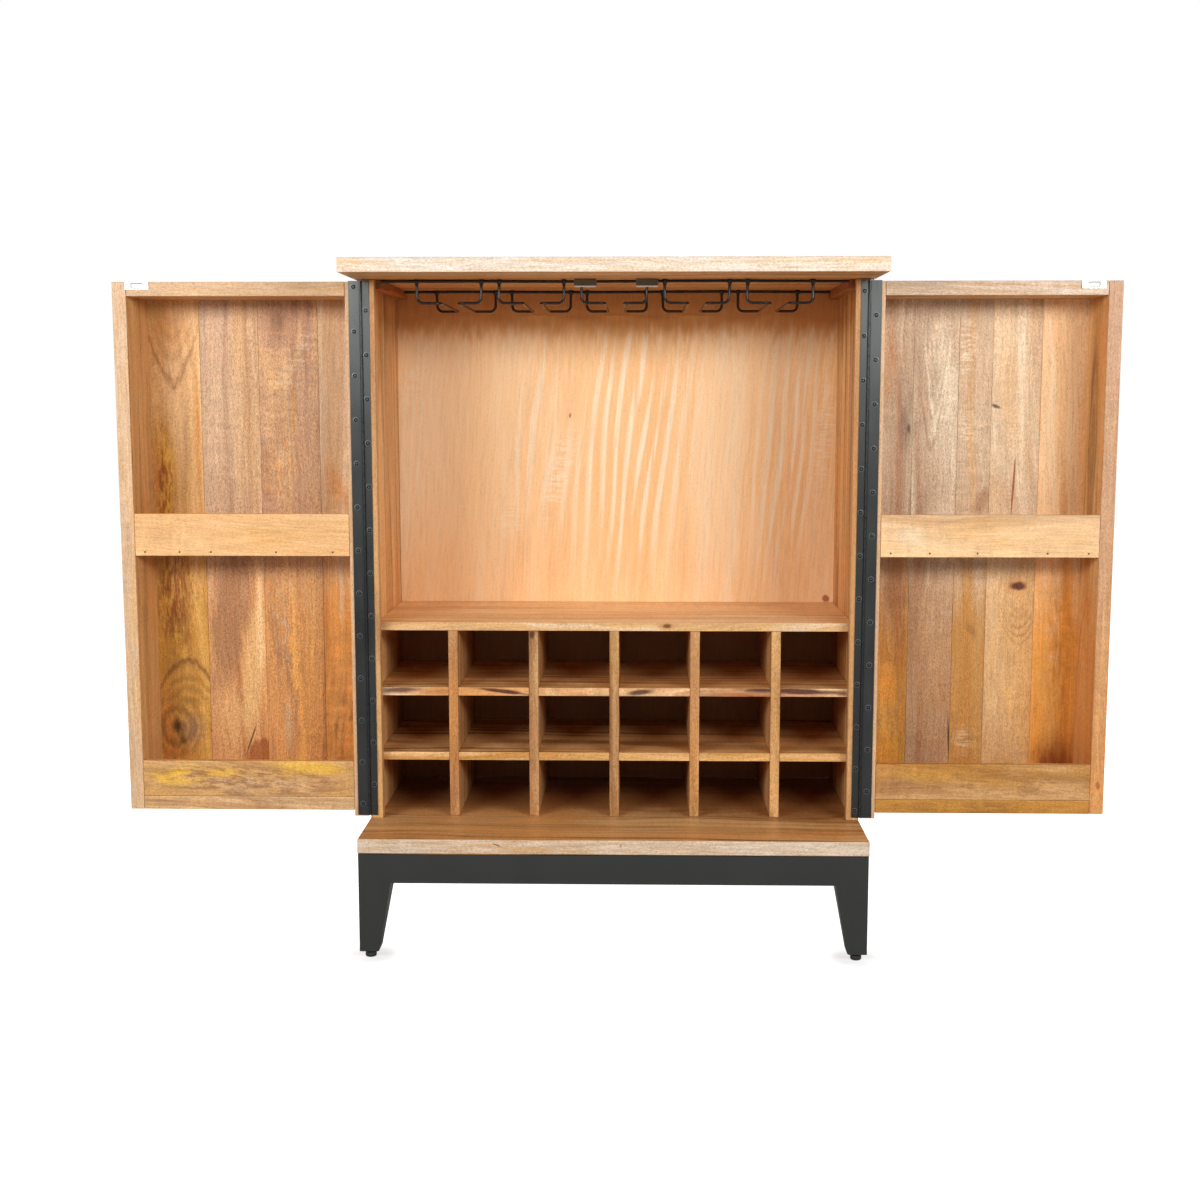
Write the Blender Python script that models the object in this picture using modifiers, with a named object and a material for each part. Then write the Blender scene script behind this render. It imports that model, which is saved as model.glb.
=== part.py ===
"""A bar cabinet with two deep doors, a bottle grid and a stemware rack.

Units are metres, +Z is up and the front faces -Y. The origin is on the floor under the
middle of the top board. The doors are modelled wide open, flat beside the carcass.
"""
import math

import bmesh
import bpy
from mathutils import Vector

# Fits and small edges
fit_gap = 0.0003
cut_overrun = 0.004
weld_distance = 0.000005
board_edge = 0.0010
top_edge = 0.0020
steel_edge = 0.0015

# Carcass
carcass_width = 0.788
carcass_depth = 0.300
carcass_height = 0.859
side_thickness = 0.012
post_width = 0.020
post_depth = 0.018
back_thickness = 0.010
back_rebate = 0.006

# Top and base boards
top_thickness = 0.022
top_side_overhang = 0.0125
top_front_overhang = 0.011
base_thickness = 0.024
base_side_lip = 0.001
base_front_lip = 0.001

# Base frame and feet
leg_height = 0.156
leg_top_size = 0.050
leg_toe_size = 0.0305
leg_toe_chamfer = 0.004
leg_inset = 0.001
leg_wall = 0.0025
leg_floor = 0.006
apron_height = 0.046
apron_wall = 0.004
apron_flange = 0.022
foot_height = 0.012
foot_radius = 0.00875
foot_chamfer = 0.0012
foot_stem_radius = 0.004
foot_stem_length = 0.018
foot_bore_clearance = 0.0004
foot_sides = 16

# Bottle grid
cell_columns = 6
cell_rows = 3
grid_height = 0.305
grid_top_thickness = 0.0135
grid_shelf_thickness = 0.0135
divider_thickness = 0.015
lap_depth_share = 0.5

# Stemware rack and its cleats
cleat_width = 0.0175
cleat_height = 0.014
rack_slots = 5
rack_end_space = 0.0561
rack_wire_spacing = 0.0278
rack_stem_gap = 0.029
rack_drop = 0.0338
rack_bar_radius = 0.00235
rack_wire_radius = 0.0022
rack_bend_radius = 0.009
rack_bend_steps = 3
rack_front_setback = 0.008
rack_length = 0.2485

# Door boxes
door_centre_gap = 0.010
door_top_gap = 0.0035
door_bottom_gap = 0.0035
door_frame_depth = 0.107
door_panel_thickness = 0.012
door_toe_step = 0.0095
hinge_stile_thickness = 0.024
free_stile_thickness = 0.022
door_top_thickness = 0.022
door_bottom_thickness = 0.022
door_shelf_height = 0.4135
door_shelf_thickness = 0.014
guard_rail_thickness = 0.012
middle_rail_height = 0.067
bottom_rail_height = 0.0585

# Piano hinges
hinge_stand_off = 0.0025
hinge_side_gap = 0.001
hinge_bottom_gap = 0.0055
hinge_top_gap = 0.0025
leaf_thickness = 0.001
carcass_leaf_width = 0.013
door_leaf_width = 0.019
knuckle_count = 17
knuckle_arc_steps = 14
pin_radius = 0.00095
pin_sides = 12

# Catches, strike plates and knobs
catch_width = 0.035
catch_depth = 0.007
catch_height = 0.0122
catch_edge = 0.0008
left_catch_offset = 0.045
right_catch_offset = 0.051
strike_width = 0.037
strike_height = 0.0115
strike_thickness = 0.0015
strike_top_inset = 0.0005
knob_radius = 0.012
knob_neck_radius = 0.005
knob_neck_length = 0.009
knob_head_length = 0.012
knob_edge = 0.003
knob_edge_inset = 0.028
knob_height_share = 0.5
knob_sides = 20

# Levels worked out from the sizes above
leg_foot_z = foot_height
base_bottom_z = foot_height + leg_height
apron_bottom_z = base_bottom_z - apron_height
base_top_z = base_bottom_z + base_thickness
carcass_top_z = base_top_z + carcass_height
top_z = carcass_top_z + top_thickness
grid_top_z = base_top_z + grid_height

door_depth = door_frame_depth + door_panel_thickness
base_depth = carcass_depth + 2 * hinge_stand_off + door_depth + base_front_lip
top_depth = base_depth + top_front_overhang
rear_y = top_depth / 2
top_front_y = -rear_y
carcass_front_y = rear_y - carcass_depth
base_front_y = rear_y - base_depth
inside_front_y = carcass_front_y + post_depth + fit_gap
inside_rear_y = rear_y - back_thickness
back_face_y = inside_rear_y + fit_gap

side_x = carcass_width / 2
inside_x = side_x - side_thickness
inside_fit_x = inside_x - fit_gap
post_inner_x = side_x - post_width
base_x = side_x + base_side_lip
top_x = side_x + top_side_overhang
leg_x = base_x - leg_inset
leg_front_y = base_front_y + leg_inset
leg_rear_y = rear_y - leg_inset

hinge_x = side_x + hinge_side_gap
hinge_y = carcass_front_y - hinge_stand_off
hinge_bottom_z = base_top_z + hinge_bottom_gap
hinge_top_z = carcass_top_z - hinge_top_gap
knuckle_radius = hinge_stand_off - fit_gap
bore_radius = pin_radius + fit_gap
knuckle_pitch = (hinge_top_z - hinge_bottom_z) / knuckle_count

# Wood and metal colours
pale_wood = (0.62, 0.46, 0.30)
honey_wood = (0.60, 0.38, 0.17)
brown_wood = (0.32, 0.15, 0.06)
black_satin = (0.045, 0.047, 0.046)
wire_black = (0.02, 0.018, 0.016)
hinge_grey = (0.10, 0.105, 0.105)
zinc = (0.75, 0.75, 0.73)
catch_brown = (0.22, 0.19, 0.16)

wood_roughness = 0.55
paint_roughness = 0.45
metal_roughness = 0.35

sides = (("left", -1), ("right", 1))


def new_collection(name):
    """A collection linked to the scene."""
    collection = bpy.data.collections.new(name)
    bpy.context.scene.collection.children.link(collection)
    return collection


def move_to(piece, collection):
    """Put an object in one collection only."""
    for holder in list(piece.users_collection):
        holder.objects.unlink(piece)
    collection.objects.link(piece)


def paint(piece, colour, roughness=wood_roughness, metallic=0.0):
    """Give a piece its own Principled material."""
    material = bpy.data.materials.new(piece.name + "_finish")
    material.use_nodes = True
    shader = material.node_tree.nodes["Principled BSDF"]
    shader.inputs["Base Color"].default_value = (*colour, 1.0)
    shader.inputs["Roughness"].default_value = roughness
    shader.inputs["Metallic"].default_value = metallic
    piece.data.materials.clear()
    piece.data.materials.append(material)


def span(first, second):
    """Two coordinates in rising order."""
    return min(first, second), max(first, second)


def block(name, x_span, y_span, z_span, collection):
    """A box primitive between two corners, with its scale applied."""
    low = Vector((x_span[0], y_span[0], z_span[0]))
    high = Vector((x_span[1], y_span[1], z_span[1]))
    bpy.ops.mesh.primitive_cube_add(size=1, location=(low + high) / 2)
    piece = bpy.context.object
    piece.name = name
    piece.scale = high - low
    bpy.ops.object.transform_apply(location=False, rotation=False, scale=True)
    move_to(piece, collection)
    return piece


def ease_edges(piece, width, segments=1):
    """Round the sharp edges of a piece."""
    bevel = piece.modifiers.new("eased_edges", "BEVEL")
    bevel.width = width
    bevel.segments = segments
    bevel.limit_method = "ANGLE"
    bevel.angle_limit = math.radians(40)


def board(name, x_span, y_span, z_span, colour, edge=board_edge, segments=1):
    """A sawn board with eased edges."""
    piece = block(name, x_span, y_span, z_span, parts)
    ease_edges(piece, edge, segments)
    paint(piece, colour)
    return piece


def as_guide(piece):
    """Mark an object as a cutter, which isn't part of the model."""
    piece.hide_render = True
    piece.display_type = "WIRE"


def cut(piece, cutter):
    """Cut one object out of another."""
    as_guide(cutter)
    boolean = piece.modifiers.new("cut", "BOOLEAN")
    boolean.operation = "DIFFERENCE"
    boolean.solver = "EXACT"
    boolean.object = cutter


def box_cutter(name, spans):
    """One cutter made of separate boxes, each given by its three spans."""
    shape = bmesh.new()
    for x_span, y_span, z_span in spans:
        low = Vector((x_span[0], y_span[0], z_span[0]))
        high = Vector((x_span[1], y_span[1], z_span[1]))
        cube = bmesh.ops.create_cube(shape, size=1)
        bmesh.ops.scale(shape, vec=high - low, verts=cube["verts"])
        bmesh.ops.translate(shape, vec=(low + high) / 2, verts=cube["verts"])
    mesh = bpy.data.meshes.new(name)
    shape.to_mesh(mesh)
    shape.free()
    cutter = bpy.data.objects.new(name, mesh)
    cutters.objects.link(cutter)
    return cutter


def turned(name, profile, steps, colour, roughness, metallic):
    """A piece turned about its own Z from (radius, height) points, top to bottom."""
    mesh = bpy.data.meshes.new(name)
    points = [(radius, 0, height) for radius, height in profile]
    mesh.from_pydata(points, [(i, i + 1) for i in range(len(points) - 1)], [])
    piece = bpy.data.objects.new(name, mesh)
    parts.objects.link(piece)
    screw = piece.modifiers.new("turned", "SCREW")
    screw.axis = "Z"
    screw.steps = steps
    screw.render_steps = steps
    screw.use_merge_vertices = True
    screw.merge_threshold = weld_distance
    screw.use_smooth_shade = True
    paint(piece, colour, roughness, metallic)
    return piece


def mesh_from_curve(source, name, collection):
    """Turn a curve object into a closed mesh object in its place and remove the curve."""
    bpy.context.view_layer.update()
    evaluated = source.evaluated_get(bpy.context.evaluated_depsgraph_get())
    mesh = bpy.data.meshes.new_from_object(evaluated)
    shape = bmesh.new()
    shape.from_mesh(mesh)
    bmesh.ops.remove_doubles(shape, verts=shape.verts, dist=weld_distance)
    bmesh.ops.recalc_face_normals(shape, faces=shape.faces)
    shape.to_mesh(mesh)
    shape.free()
    piece = bpy.data.objects.new(name, mesh)
    piece.matrix_world = source.matrix_world
    collection.objects.link(piece)
    bpy.data.objects.remove(source, do_unlink=True)
    return piece


def wire(name, points, radius, collection):
    """A round wire along a line of points, as a closed mesh."""
    curve = bpy.data.curves.new(name + "_path", "CURVE")
    curve.dimensions = "3D"
    curve.bevel_depth = radius
    curve.bevel_resolution = 2
    curve.use_fill_caps = True
    spline = curve.splines.new("POLY")
    spline.points.add(len(points) - 1)
    for point, place in zip(spline.points, points):
        point.co = (*place, 1)
    source = bpy.data.objects.new(name + "_path", curve)
    collection.objects.link(source)
    return mesh_from_curve(source, name, collection)


def bent_path(corners, radius, steps):
    """The line through the corners, with each inner corner rounded to a radius."""
    path = [corners[0]]
    for before, corner, after in zip(corners, corners[1:], corners[2:]):
        inward = (before - corner).normalized()
        onward = (after - corner).normalized()
        centre = corner + (inward + onward) * radius
        for step in range(steps + 1):
            turn = math.pi / 2 * step / steps
            path.append(centre - onward * radius * math.cos(turn) - inward * radius * math.sin(turn))
    path.append(corners[-1])
    return path


def carry(piece, body):
    """Parent a piece to its hinge empty without moving it in the world."""
    piece.location = piece.location - body.location
    piece.parent = body


def make_top_and_base():
    """The top board, the base board and four angle-steel aprons under it."""
    board("top_board", (-top_x, top_x), (top_front_y, rear_y), (carcass_top_z, top_z),
          pale_wood, top_edge, 2)
    board("base_board", (-base_x, base_x), (base_front_y, rear_y), (base_bottom_z, base_top_z),
          pale_wood, top_edge, 2)
    long_x = leg_x - leg_top_size - fit_gap
    long_span = (-long_x, long_x)
    over_long = (-long_x - cut_overrun, long_x + cut_overrun)
    short_y = (leg_front_y + leg_top_size + fit_gap, leg_rear_y - leg_top_size - fit_gap)
    over_short = (short_y[0] - cut_overrun, short_y[1] + cut_overrun)
    make_apron("apron_front", long_span, (leg_front_y, leg_front_y + apron_flange), over_long,
               (leg_front_y + apron_wall, leg_front_y + apron_flange + cut_overrun))
    make_apron("apron_rear", long_span, (leg_rear_y - apron_flange, leg_rear_y), over_long,
               (leg_rear_y - apron_flange - cut_overrun, leg_rear_y - apron_wall))
    for side, sign in sides:
        make_apron("apron_" + side, span(sign * leg_x, sign * (leg_x - apron_flange)), short_y,
                   span(sign * (leg_x - apron_wall), sign * (leg_x - apron_flange - cut_overrun)),
                   over_short)


def make_apron(name, x_span, y_span, hollow_x, hollow_y):
    """A steel angle: an upright face outside and a flange under the base board."""
    top = base_bottom_z - fit_gap
    apron = block(name, x_span, y_span, (apron_bottom_z, top), parts)
    ease_edges(apron, steel_edge)
    cut(apron, box_cutter(name + "_hollow", [(hollow_x, hollow_y,
                                              (apron_bottom_z - cut_overrun, top - apron_wall))]))
    paint(apron, black_satin, paint_roughness)


def tapered_post(name, outer, inward, wall, z_span, collection):
    """A square post that tapers on its two inner faces below the apron.

    The wall is taken off all four sides, so the same call makes the leg and its hollow.
    """
    top_size = leg_top_size - 2 * wall
    taper = (leg_top_size - leg_toe_size) / (apron_bottom_z - leg_foot_z)
    corner_x = outer[0] + inward[0] * wall
    corner_y = outer[1] + inward[1] * wall
    post = block(name, span(corner_x, corner_x + inward[0] * top_size),
                 span(corner_y, corner_y + inward[1] * top_size), z_span, collection)
    bend_z = apron_bottom_z - post.location.z
    shape = bmesh.new()
    shape.from_mesh(post.data)
    whole = shape.verts[:] + shape.edges[:] + shape.faces[:]
    bmesh.ops.bisect_plane(shape, geom=whole, dist=weld_distance, plane_no=(0, 0, 1),
                           plane_co=(0, 0, bend_z))
    toe = [vert for vert in shape.verts if vert.co.z < bend_z - leg_wall]
    for vert in toe:
        shift = (bend_z - vert.co.z) * taper
        if vert.co.x * inward[0] > 0:
            vert.co.x -= inward[0] * shift
        if vert.co.y * inward[1] > 0:
            vert.co.y -= inward[1] * shift
    return post, shape, toe


def make_leg(name, outer, inward):
    """A folded steel leg, open under the base board and bored for its foot."""
    top = base_bottom_z - fit_gap
    leg, shape, toe = tapered_post(name, outer, inward, 0, (leg_foot_z, top), parts)
    middle_x = sum(vert.co.x for vert in toe) / len(toe)
    middle_y = sum(vert.co.y for vert in toe) / len(toe)
    inner_edges = []
    for edge in shape.edges:
        middle = (edge.verts[0].co + edge.verts[1].co) / 2
        level = all(vert in toe for vert in edge.verts)
        inner = (middle.x - middle_x) * inward[0] + (middle.y - middle_y) * inward[1] > 0
        if level and inner:
            inner_edges.append(edge)
    bmesh.ops.bevel(shape, geom=inner_edges, offset=leg_toe_chamfer, segments=2,
                    profile=0.5, affect="EDGES")
    shape.to_mesh(leg.data)
    shape.free()
    ease_edges(leg, steel_edge)
    paint(leg, black_satin, paint_roughness)
    foot_x = outer[0] + inward[0] * leg_toe_size / 2
    foot_y = outer[1] + inward[1] * leg_toe_size / 2
    bore_depth = foot_stem_length + fit_gap
    floor_z = leg_foot_z + bore_depth + leg_floor
    hollow, hollow_shape, _ = tapered_post(name + "_hollow", outer, inward, leg_wall,
                                           (floor_z, top + cut_overrun), cutters)
    hollow_shape.to_mesh(hollow.data)
    hollow_shape.free()
    cut(leg, hollow)
    bpy.ops.mesh.primitive_cylinder_add(vertices=foot_sides,
                                        radius=foot_stem_radius + foot_bore_clearance,
                                        depth=bore_depth + cut_overrun,
                                        location=(foot_x, foot_y,
                                                  leg_foot_z + (bore_depth - cut_overrun) / 2))
    bore = bpy.context.object
    bore.name = name + "_bore"
    move_to(bore, cutters)
    cut(leg, bore)
    return foot_x, foot_y


def make_foot(name, x, y):
    """A levelling foot: a round pad under the leg and a stem up its bore."""
    pad_top = foot_height - fit_gap
    foot = turned(name, [(0, foot_height + foot_stem_length),
                         (foot_stem_radius, foot_height + foot_stem_length),
                         (foot_stem_radius, pad_top),
                         (foot_radius, pad_top),
                         (foot_radius, foot_chamfer),
                         (foot_radius - foot_chamfer, 0),
                         (0, 0)], foot_sides, wire_black, paint_roughness, 0.0)
    foot.location = (x, y, 0)


def make_legs_and_feet():
    """Four legs, each with its foot."""
    rows = (("front", leg_front_y, 1), ("rear", leg_rear_y, -1))
    for row, outer_y, inward_y in rows:
        for side, sign in sides:
            place = make_leg(f"leg_{row}_{side}", (sign * leg_x, outer_y), (-sign, inward_y))
            make_foot(f"levelling_foot_{row}_{side}", *place)


def make_carcass():
    """The two sides with their front posts and cleats, and the back panel."""
    tall = (base_top_z + fit_gap, carcass_top_z - fit_gap)
    rebate_x = inside_x + back_rebate
    for side, sign in sides:
        board("front_post_" + side, span(sign * post_inner_x, sign * side_x),
              (carcass_front_y, carcass_front_y + post_depth), tall, pale_wood)
        panel = board("side_panel_" + side, span(sign * inside_x, sign * side_x),
                      (inside_front_y, rear_y), tall, brown_wood)
        rebate = box_cutter(panel.name + "_rebate",
                            [(span(sign * (inside_x - cut_overrun), sign * rebate_x),
                              (inside_rear_y, rear_y + cut_overrun),
                              (tall[0] - cut_overrun, tall[1] + cut_overrun))])
        cut(panel, rebate)
        board("top_cleat_" + side,
              span(sign * inside_fit_x, sign * (inside_x - cleat_width)),
              (inside_front_y, inside_rear_y),
              (carcass_top_z - cleat_height, carcass_top_z - fit_gap), brown_wood)
    back_x = rebate_x - fit_gap
    board("back_panel", (-back_x, back_x), (back_face_y, rear_y), tall, honey_wood)


def make_grid():
    """Shelves and dividers that cross in half laps: shelves slotted at the front."""
    board("grid_top_shelf", (-inside_fit_x, inside_fit_x), (inside_front_y, inside_rear_y),
          (grid_top_z, grid_top_z + grid_top_thickness), honey_wood)
    shelf_count = cell_rows - 1
    divider_count = cell_columns - 1
    row_opening = (grid_height - shelf_count * grid_shelf_thickness) / cell_rows
    column_opening = (2 * inside_x - divider_count * divider_thickness) / cell_columns
    lap_y = inside_front_y + (inside_rear_y - inside_front_y) * lap_depth_share
    divider_x = []
    for index in range(divider_count):
        left = (index + 1) * column_opening + index * divider_thickness - inside_x
        divider_x.append((left, left + divider_thickness))
    shelf_z = []
    for index in range(shelf_count):
        bottom = base_top_z + (index + 1) * row_opening + index * grid_shelf_thickness
        shelf_z.append((bottom, bottom + grid_shelf_thickness))
    for index, z_span in enumerate(shelf_z, start=1):
        shelf = board(f"grid_shelf_{index}", (-inside_fit_x, inside_fit_x),
                      (inside_front_y, inside_rear_y), z_span, honey_wood)
        laps = [((low - fit_gap, high + fit_gap),
                 (inside_front_y - cut_overrun, lap_y + fit_gap / 2),
                 (z_span[0] - cut_overrun, z_span[1] + cut_overrun)) for low, high in divider_x]
        cut(shelf, box_cutter(shelf.name + "_laps", laps))
    for index, x_span in enumerate(divider_x, start=1):
        divider = board(f"grid_divider_{index}", x_span, (inside_front_y, inside_rear_y),
                        (base_top_z + fit_gap, grid_top_z - fit_gap), honey_wood)
        laps = [((x_span[0] - cut_overrun, x_span[1] + cut_overrun),
                 (lap_y - fit_gap / 2, inside_rear_y + cut_overrun),
                 (low - fit_gap, high + fit_gap)) for low, high in shelf_z]
        cut(divider, box_cutter(divider.name + "_laps", laps))


def make_rack():
    """Two bars under the top with five pairs of bent wires welded below them."""
    bar_z = carcass_top_z - fit_gap - rack_bar_radius
    low_z = bar_z - rack_drop
    bar_x = inside_x - cleat_width - fit_gap
    spaces = 2 * rack_end_space + (rack_slots - 1) * rack_wire_spacing
    opening = (2 * bar_x - spaces) / rack_slots
    pitch = opening + rack_wire_spacing
    front = carcass_front_y + rack_front_setback
    rear = front + rack_length
    rack = wire("stemware_rack", [Vector((-bar_x, front, bar_z)), Vector((bar_x, front, bar_z))],
                rack_bar_radius, parts)
    wires = new_collection("rack_wires")
    wire("rack_rear_bar", [Vector((-bar_x, rear, bar_z)), Vector((bar_x, rear, bar_z))],
         rack_bar_radius, wires)
    for slot in range(rack_slots):
        centre = (slot - (rack_slots - 1) / 2) * pitch
        for side, sign in sides:
            outer = centre + sign * opening / 2
            tip = centre + sign * rack_stem_gap / 2
            corners = [Vector((outer, front, bar_z)), Vector((outer, front, low_z)),
                       Vector((tip, front, low_z)), Vector((tip, rear, low_z)),
                       Vector((outer, rear, low_z)), Vector((outer, rear, bar_z))]
            wire(f"rack_wire_{slot + 1}_{side}",
                 bent_path(corners, rack_bend_radius, rack_bend_steps), rack_wire_radius, wires)
    for piece in wires.objects:
        as_guide(piece)
    weld = rack.modifiers.new("welded_wires", "BOOLEAN")
    weld.operation = "UNION"
    weld.solver = "EXACT"
    weld.operand_type = "COLLECTION"
    weld.collection = wires
    paint(rack, wire_black, metal_roughness, 1.0)


def make_catch(side, sign, offset):
    """A catch under the top, just in front of the rack's bar."""
    x = sign * offset
    front = carcass_front_y - 2 * hinge_stand_off + 2 * fit_gap + strike_thickness
    catch = block("catch_" + side, (x - catch_width / 2, x + catch_width / 2),
                  (front, front + catch_depth),
                  (carcass_top_z - fit_gap - catch_height, carcass_top_z - fit_gap), parts)
    ease_edges(catch, catch_edge)
    paint(catch, catch_brown, metal_roughness, 0.0)


def leaf_section(direction, width):
    """The outline of a leaf with its knuckle round the origin, and the pin's bore."""
    face = knuckle_radius - leaf_thickness
    start = math.pi / 2
    end = 2 * math.pi + math.asin(face / knuckle_radius)
    outline = [(direction * width, knuckle_radius)]
    for step in range(knuckle_arc_steps + 1):
        turn = start + (end - start) * step / knuckle_arc_steps
        outline.append((direction * knuckle_radius * math.cos(turn),
                        knuckle_radius * math.sin(turn)))
    outline.append((direction * width, face))
    bore = []
    for step in range(pin_sides):
        turn = 2 * math.pi * step / pin_sides
        bore.append((bore_radius * math.cos(turn), bore_radius * math.sin(turn)))
    return outline, bore


def make_leaf(name, sign, direction, width, first_notch):
    """One leaf of a piano hinge, its knuckles notched out from the first_notch on.

    The leaf lies on the side of the axis that direction says. Every second knuckle is
    cut away, where the other leaf has its own.
    """
    curve = bpy.data.curves.new(name + "_section", "CURVE")
    curve.dimensions = "2D"
    curve.fill_mode = "BOTH"
    curve.extrude = (hinge_top_z - hinge_bottom_z) / 2
    for points in leaf_section(direction, width):
        spline = curve.splines.new("POLY")
        spline.points.add(len(points) - 1)
        for point, (x, y) in zip(spline.points, points):
            point.co = (x, y, 0, 1)
        spline.use_cyclic_u = True
    source = bpy.data.objects.new(name + "_section", curve)
    source.location = (sign * hinge_x, hinge_y, (hinge_bottom_z + hinge_top_z) / 2)
    parts.objects.link(source)
    leaf = mesh_from_curve(source, name, parts)
    notch_x = span(sign * hinge_x - direction * (knuckle_radius + cut_overrun),
                   sign * hinge_x + direction * (knuckle_radius + fit_gap))
    notch_y = (hinge_y - knuckle_radius - cut_overrun, hinge_y + knuckle_radius + cut_overrun)
    notches = []
    for index in range(first_notch, knuckle_count, 2):
        bottom = hinge_bottom_z + index * knuckle_pitch
        below = cut_overrun if index == 0 else fit_gap / 2
        above = cut_overrun if index == knuckle_count - 1 else fit_gap / 2
        notches.append((notch_x, notch_y, (bottom - below, bottom + knuckle_pitch + above)))
    cut(leaf, box_cutter(name + "_notches", notches))
    paint(leaf, hinge_grey, metal_roughness, 1.0)
    return leaf


def make_pin(side, sign):
    """The steel wire that both leaves of a hinge turn on."""
    bpy.ops.mesh.primitive_cylinder_add(vertices=pin_sides, radius=pin_radius,
                                        depth=hinge_top_z - hinge_bottom_z,
                                        location=(sign * hinge_x, hinge_y,
                                                  (hinge_bottom_z + hinge_top_z) / 2))
    pin = bpy.context.object
    pin.name = "hinge_pin_" + side
    move_to(pin, parts)
    paint(pin, hinge_grey, metal_roughness, 1.0)


def make_knob(side, x, y, z):
    """A turned knob whose axis points out of the door's face."""
    neck = knob_neck_length
    tip = neck + knob_head_length
    knob = turned(f"door_knob_{side}", [(0, tip),
                                        (knob_radius - knob_edge, tip),
                                        (knob_radius, tip - knob_edge),
                                        (knob_radius, neck + knob_edge),
                                        (knob_neck_radius, neck),
                                        (knob_neck_radius, 0),
                                        (0, 0)], knob_sides, wire_black, paint_roughness, 0.0)
    knob.rotation_euler = (-math.pi / 2, 0, 0)
    knob.location = (x, y, z)
    return knob


def make_door(side, sign, catch_offset):
    """One door: a deep box frame, its front panel, a shelf and two guard rails."""
    hinge = bpy.data.objects.new(f"door_hinge_axis_{side}", None)
    hinge.location = (sign * hinge_x, hinge_y, (hinge_bottom_z + hinge_top_z) / 2)
    parts.objects.link(hinge)
    near = hinge_x + hinge_side_gap
    far = 2 * hinge_x - door_centre_gap / 2
    inner_near = near + hinge_stile_thickness + fit_gap
    inner_far = far - free_stile_thickness - fit_gap
    rim_y = carcass_front_y
    frame_y = (rim_y, rim_y + door_frame_depth)
    rail_y = (rim_y, rim_y + guard_rail_thickness)
    behind_rail_y = (rim_y + guard_rail_thickness + fit_gap, rim_y + door_frame_depth)
    low_z = base_top_z + door_bottom_gap
    high_z = carcass_top_z - door_top_gap
    toe_z = low_z + door_toe_step
    floor_z = toe_z + door_bottom_thickness
    shelf_z = toe_z + door_shelf_height
    inner_x = span(sign * inner_near, sign * inner_far)
    pieces = [
        board(f"door_{side}_hinge_stile", span(sign * near, sign * (near + hinge_stile_thickness)),
              frame_y, (low_z, high_z), pale_wood),
        board(f"door_{side}_free_stile", span(sign * (far - free_stile_thickness), sign * far),
              frame_y, (toe_z, high_z), pale_wood),
        board(f"door_{side}_top", inner_x, frame_y, (high_z - door_top_thickness, high_z),
              pale_wood),
        board(f"door_{side}_bottom", inner_x, frame_y, (toe_z, floor_z), pale_wood),
        board(f"door_{side}_front_panel", span(sign * near, sign * far),
              (frame_y[1] + fit_gap, rim_y + door_depth), (low_z, high_z), honey_wood),
        board(f"door_{side}_shelf", inner_x, behind_rail_y,
              (shelf_z, shelf_z + door_shelf_thickness), honey_wood),
        board(f"door_{side}_middle_guard_rail", inner_x, rail_y,
              (shelf_z, shelf_z + middle_rail_height), honey_wood),
        board(f"door_{side}_bottom_guard_rail", inner_x, rail_y,
              (floor_z + fit_gap, floor_z + bottom_rail_height), honey_wood),
        make_leaf(f"hinge_leaf_door_{side}", sign, sign, door_leaf_width, 0),
    ]
    strike_x = 2 * hinge_x - catch_offset
    strike = block(f"strike_plate_{side}",
                   span(sign * (strike_x - strike_width / 2), sign * (strike_x + strike_width / 2)),
                   (rim_y - fit_gap - strike_thickness, rim_y - fit_gap),
                   (high_z - strike_top_inset - strike_height, high_z - strike_top_inset), parts)
    ease_edges(strike, strike_thickness / 4)
    paint(strike, zinc, metal_roughness, 1.0)
    pieces.append(strike)
    pieces.append(make_knob(side, sign * (far - knob_edge_inset),
                            rim_y + door_depth + fit_gap,
                            low_z + (high_z - low_z) * knob_height_share))
    for piece in pieces:
        carry(piece, hinge)


for old in list(bpy.data.objects):
    bpy.data.objects.remove(old, do_unlink=True)

parts = new_collection("bar_cabinet")
cutters = new_collection("bar_cabinet_cutters")

make_top_and_base()
make_legs_and_feet()
make_carcass()
make_grid()
make_rack()
catch_offsets = {"left": left_catch_offset, "right": right_catch_offset}
for side, sign in sides:
    make_catch(side, sign, catch_offsets[side])
    make_leaf("hinge_leaf_carcass_" + side, sign, -sign, carcass_leaf_width, 1)
    make_pin(side, sign)
    make_door(side, sign, catch_offsets[side])
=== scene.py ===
"""The looks of a bar cabinet in mango wood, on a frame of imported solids.

Every board is a rounded skin with grain coordinates of its own: it is sawn, in numbers,
from a round log, and the wood's nodes colour that log. So the figure on a face, on its
edge and on its end grain belong together. Lengths are metres, +Z is up, the front faces -Y.
"""
import math
import zlib
from dataclasses import dataclass

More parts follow.
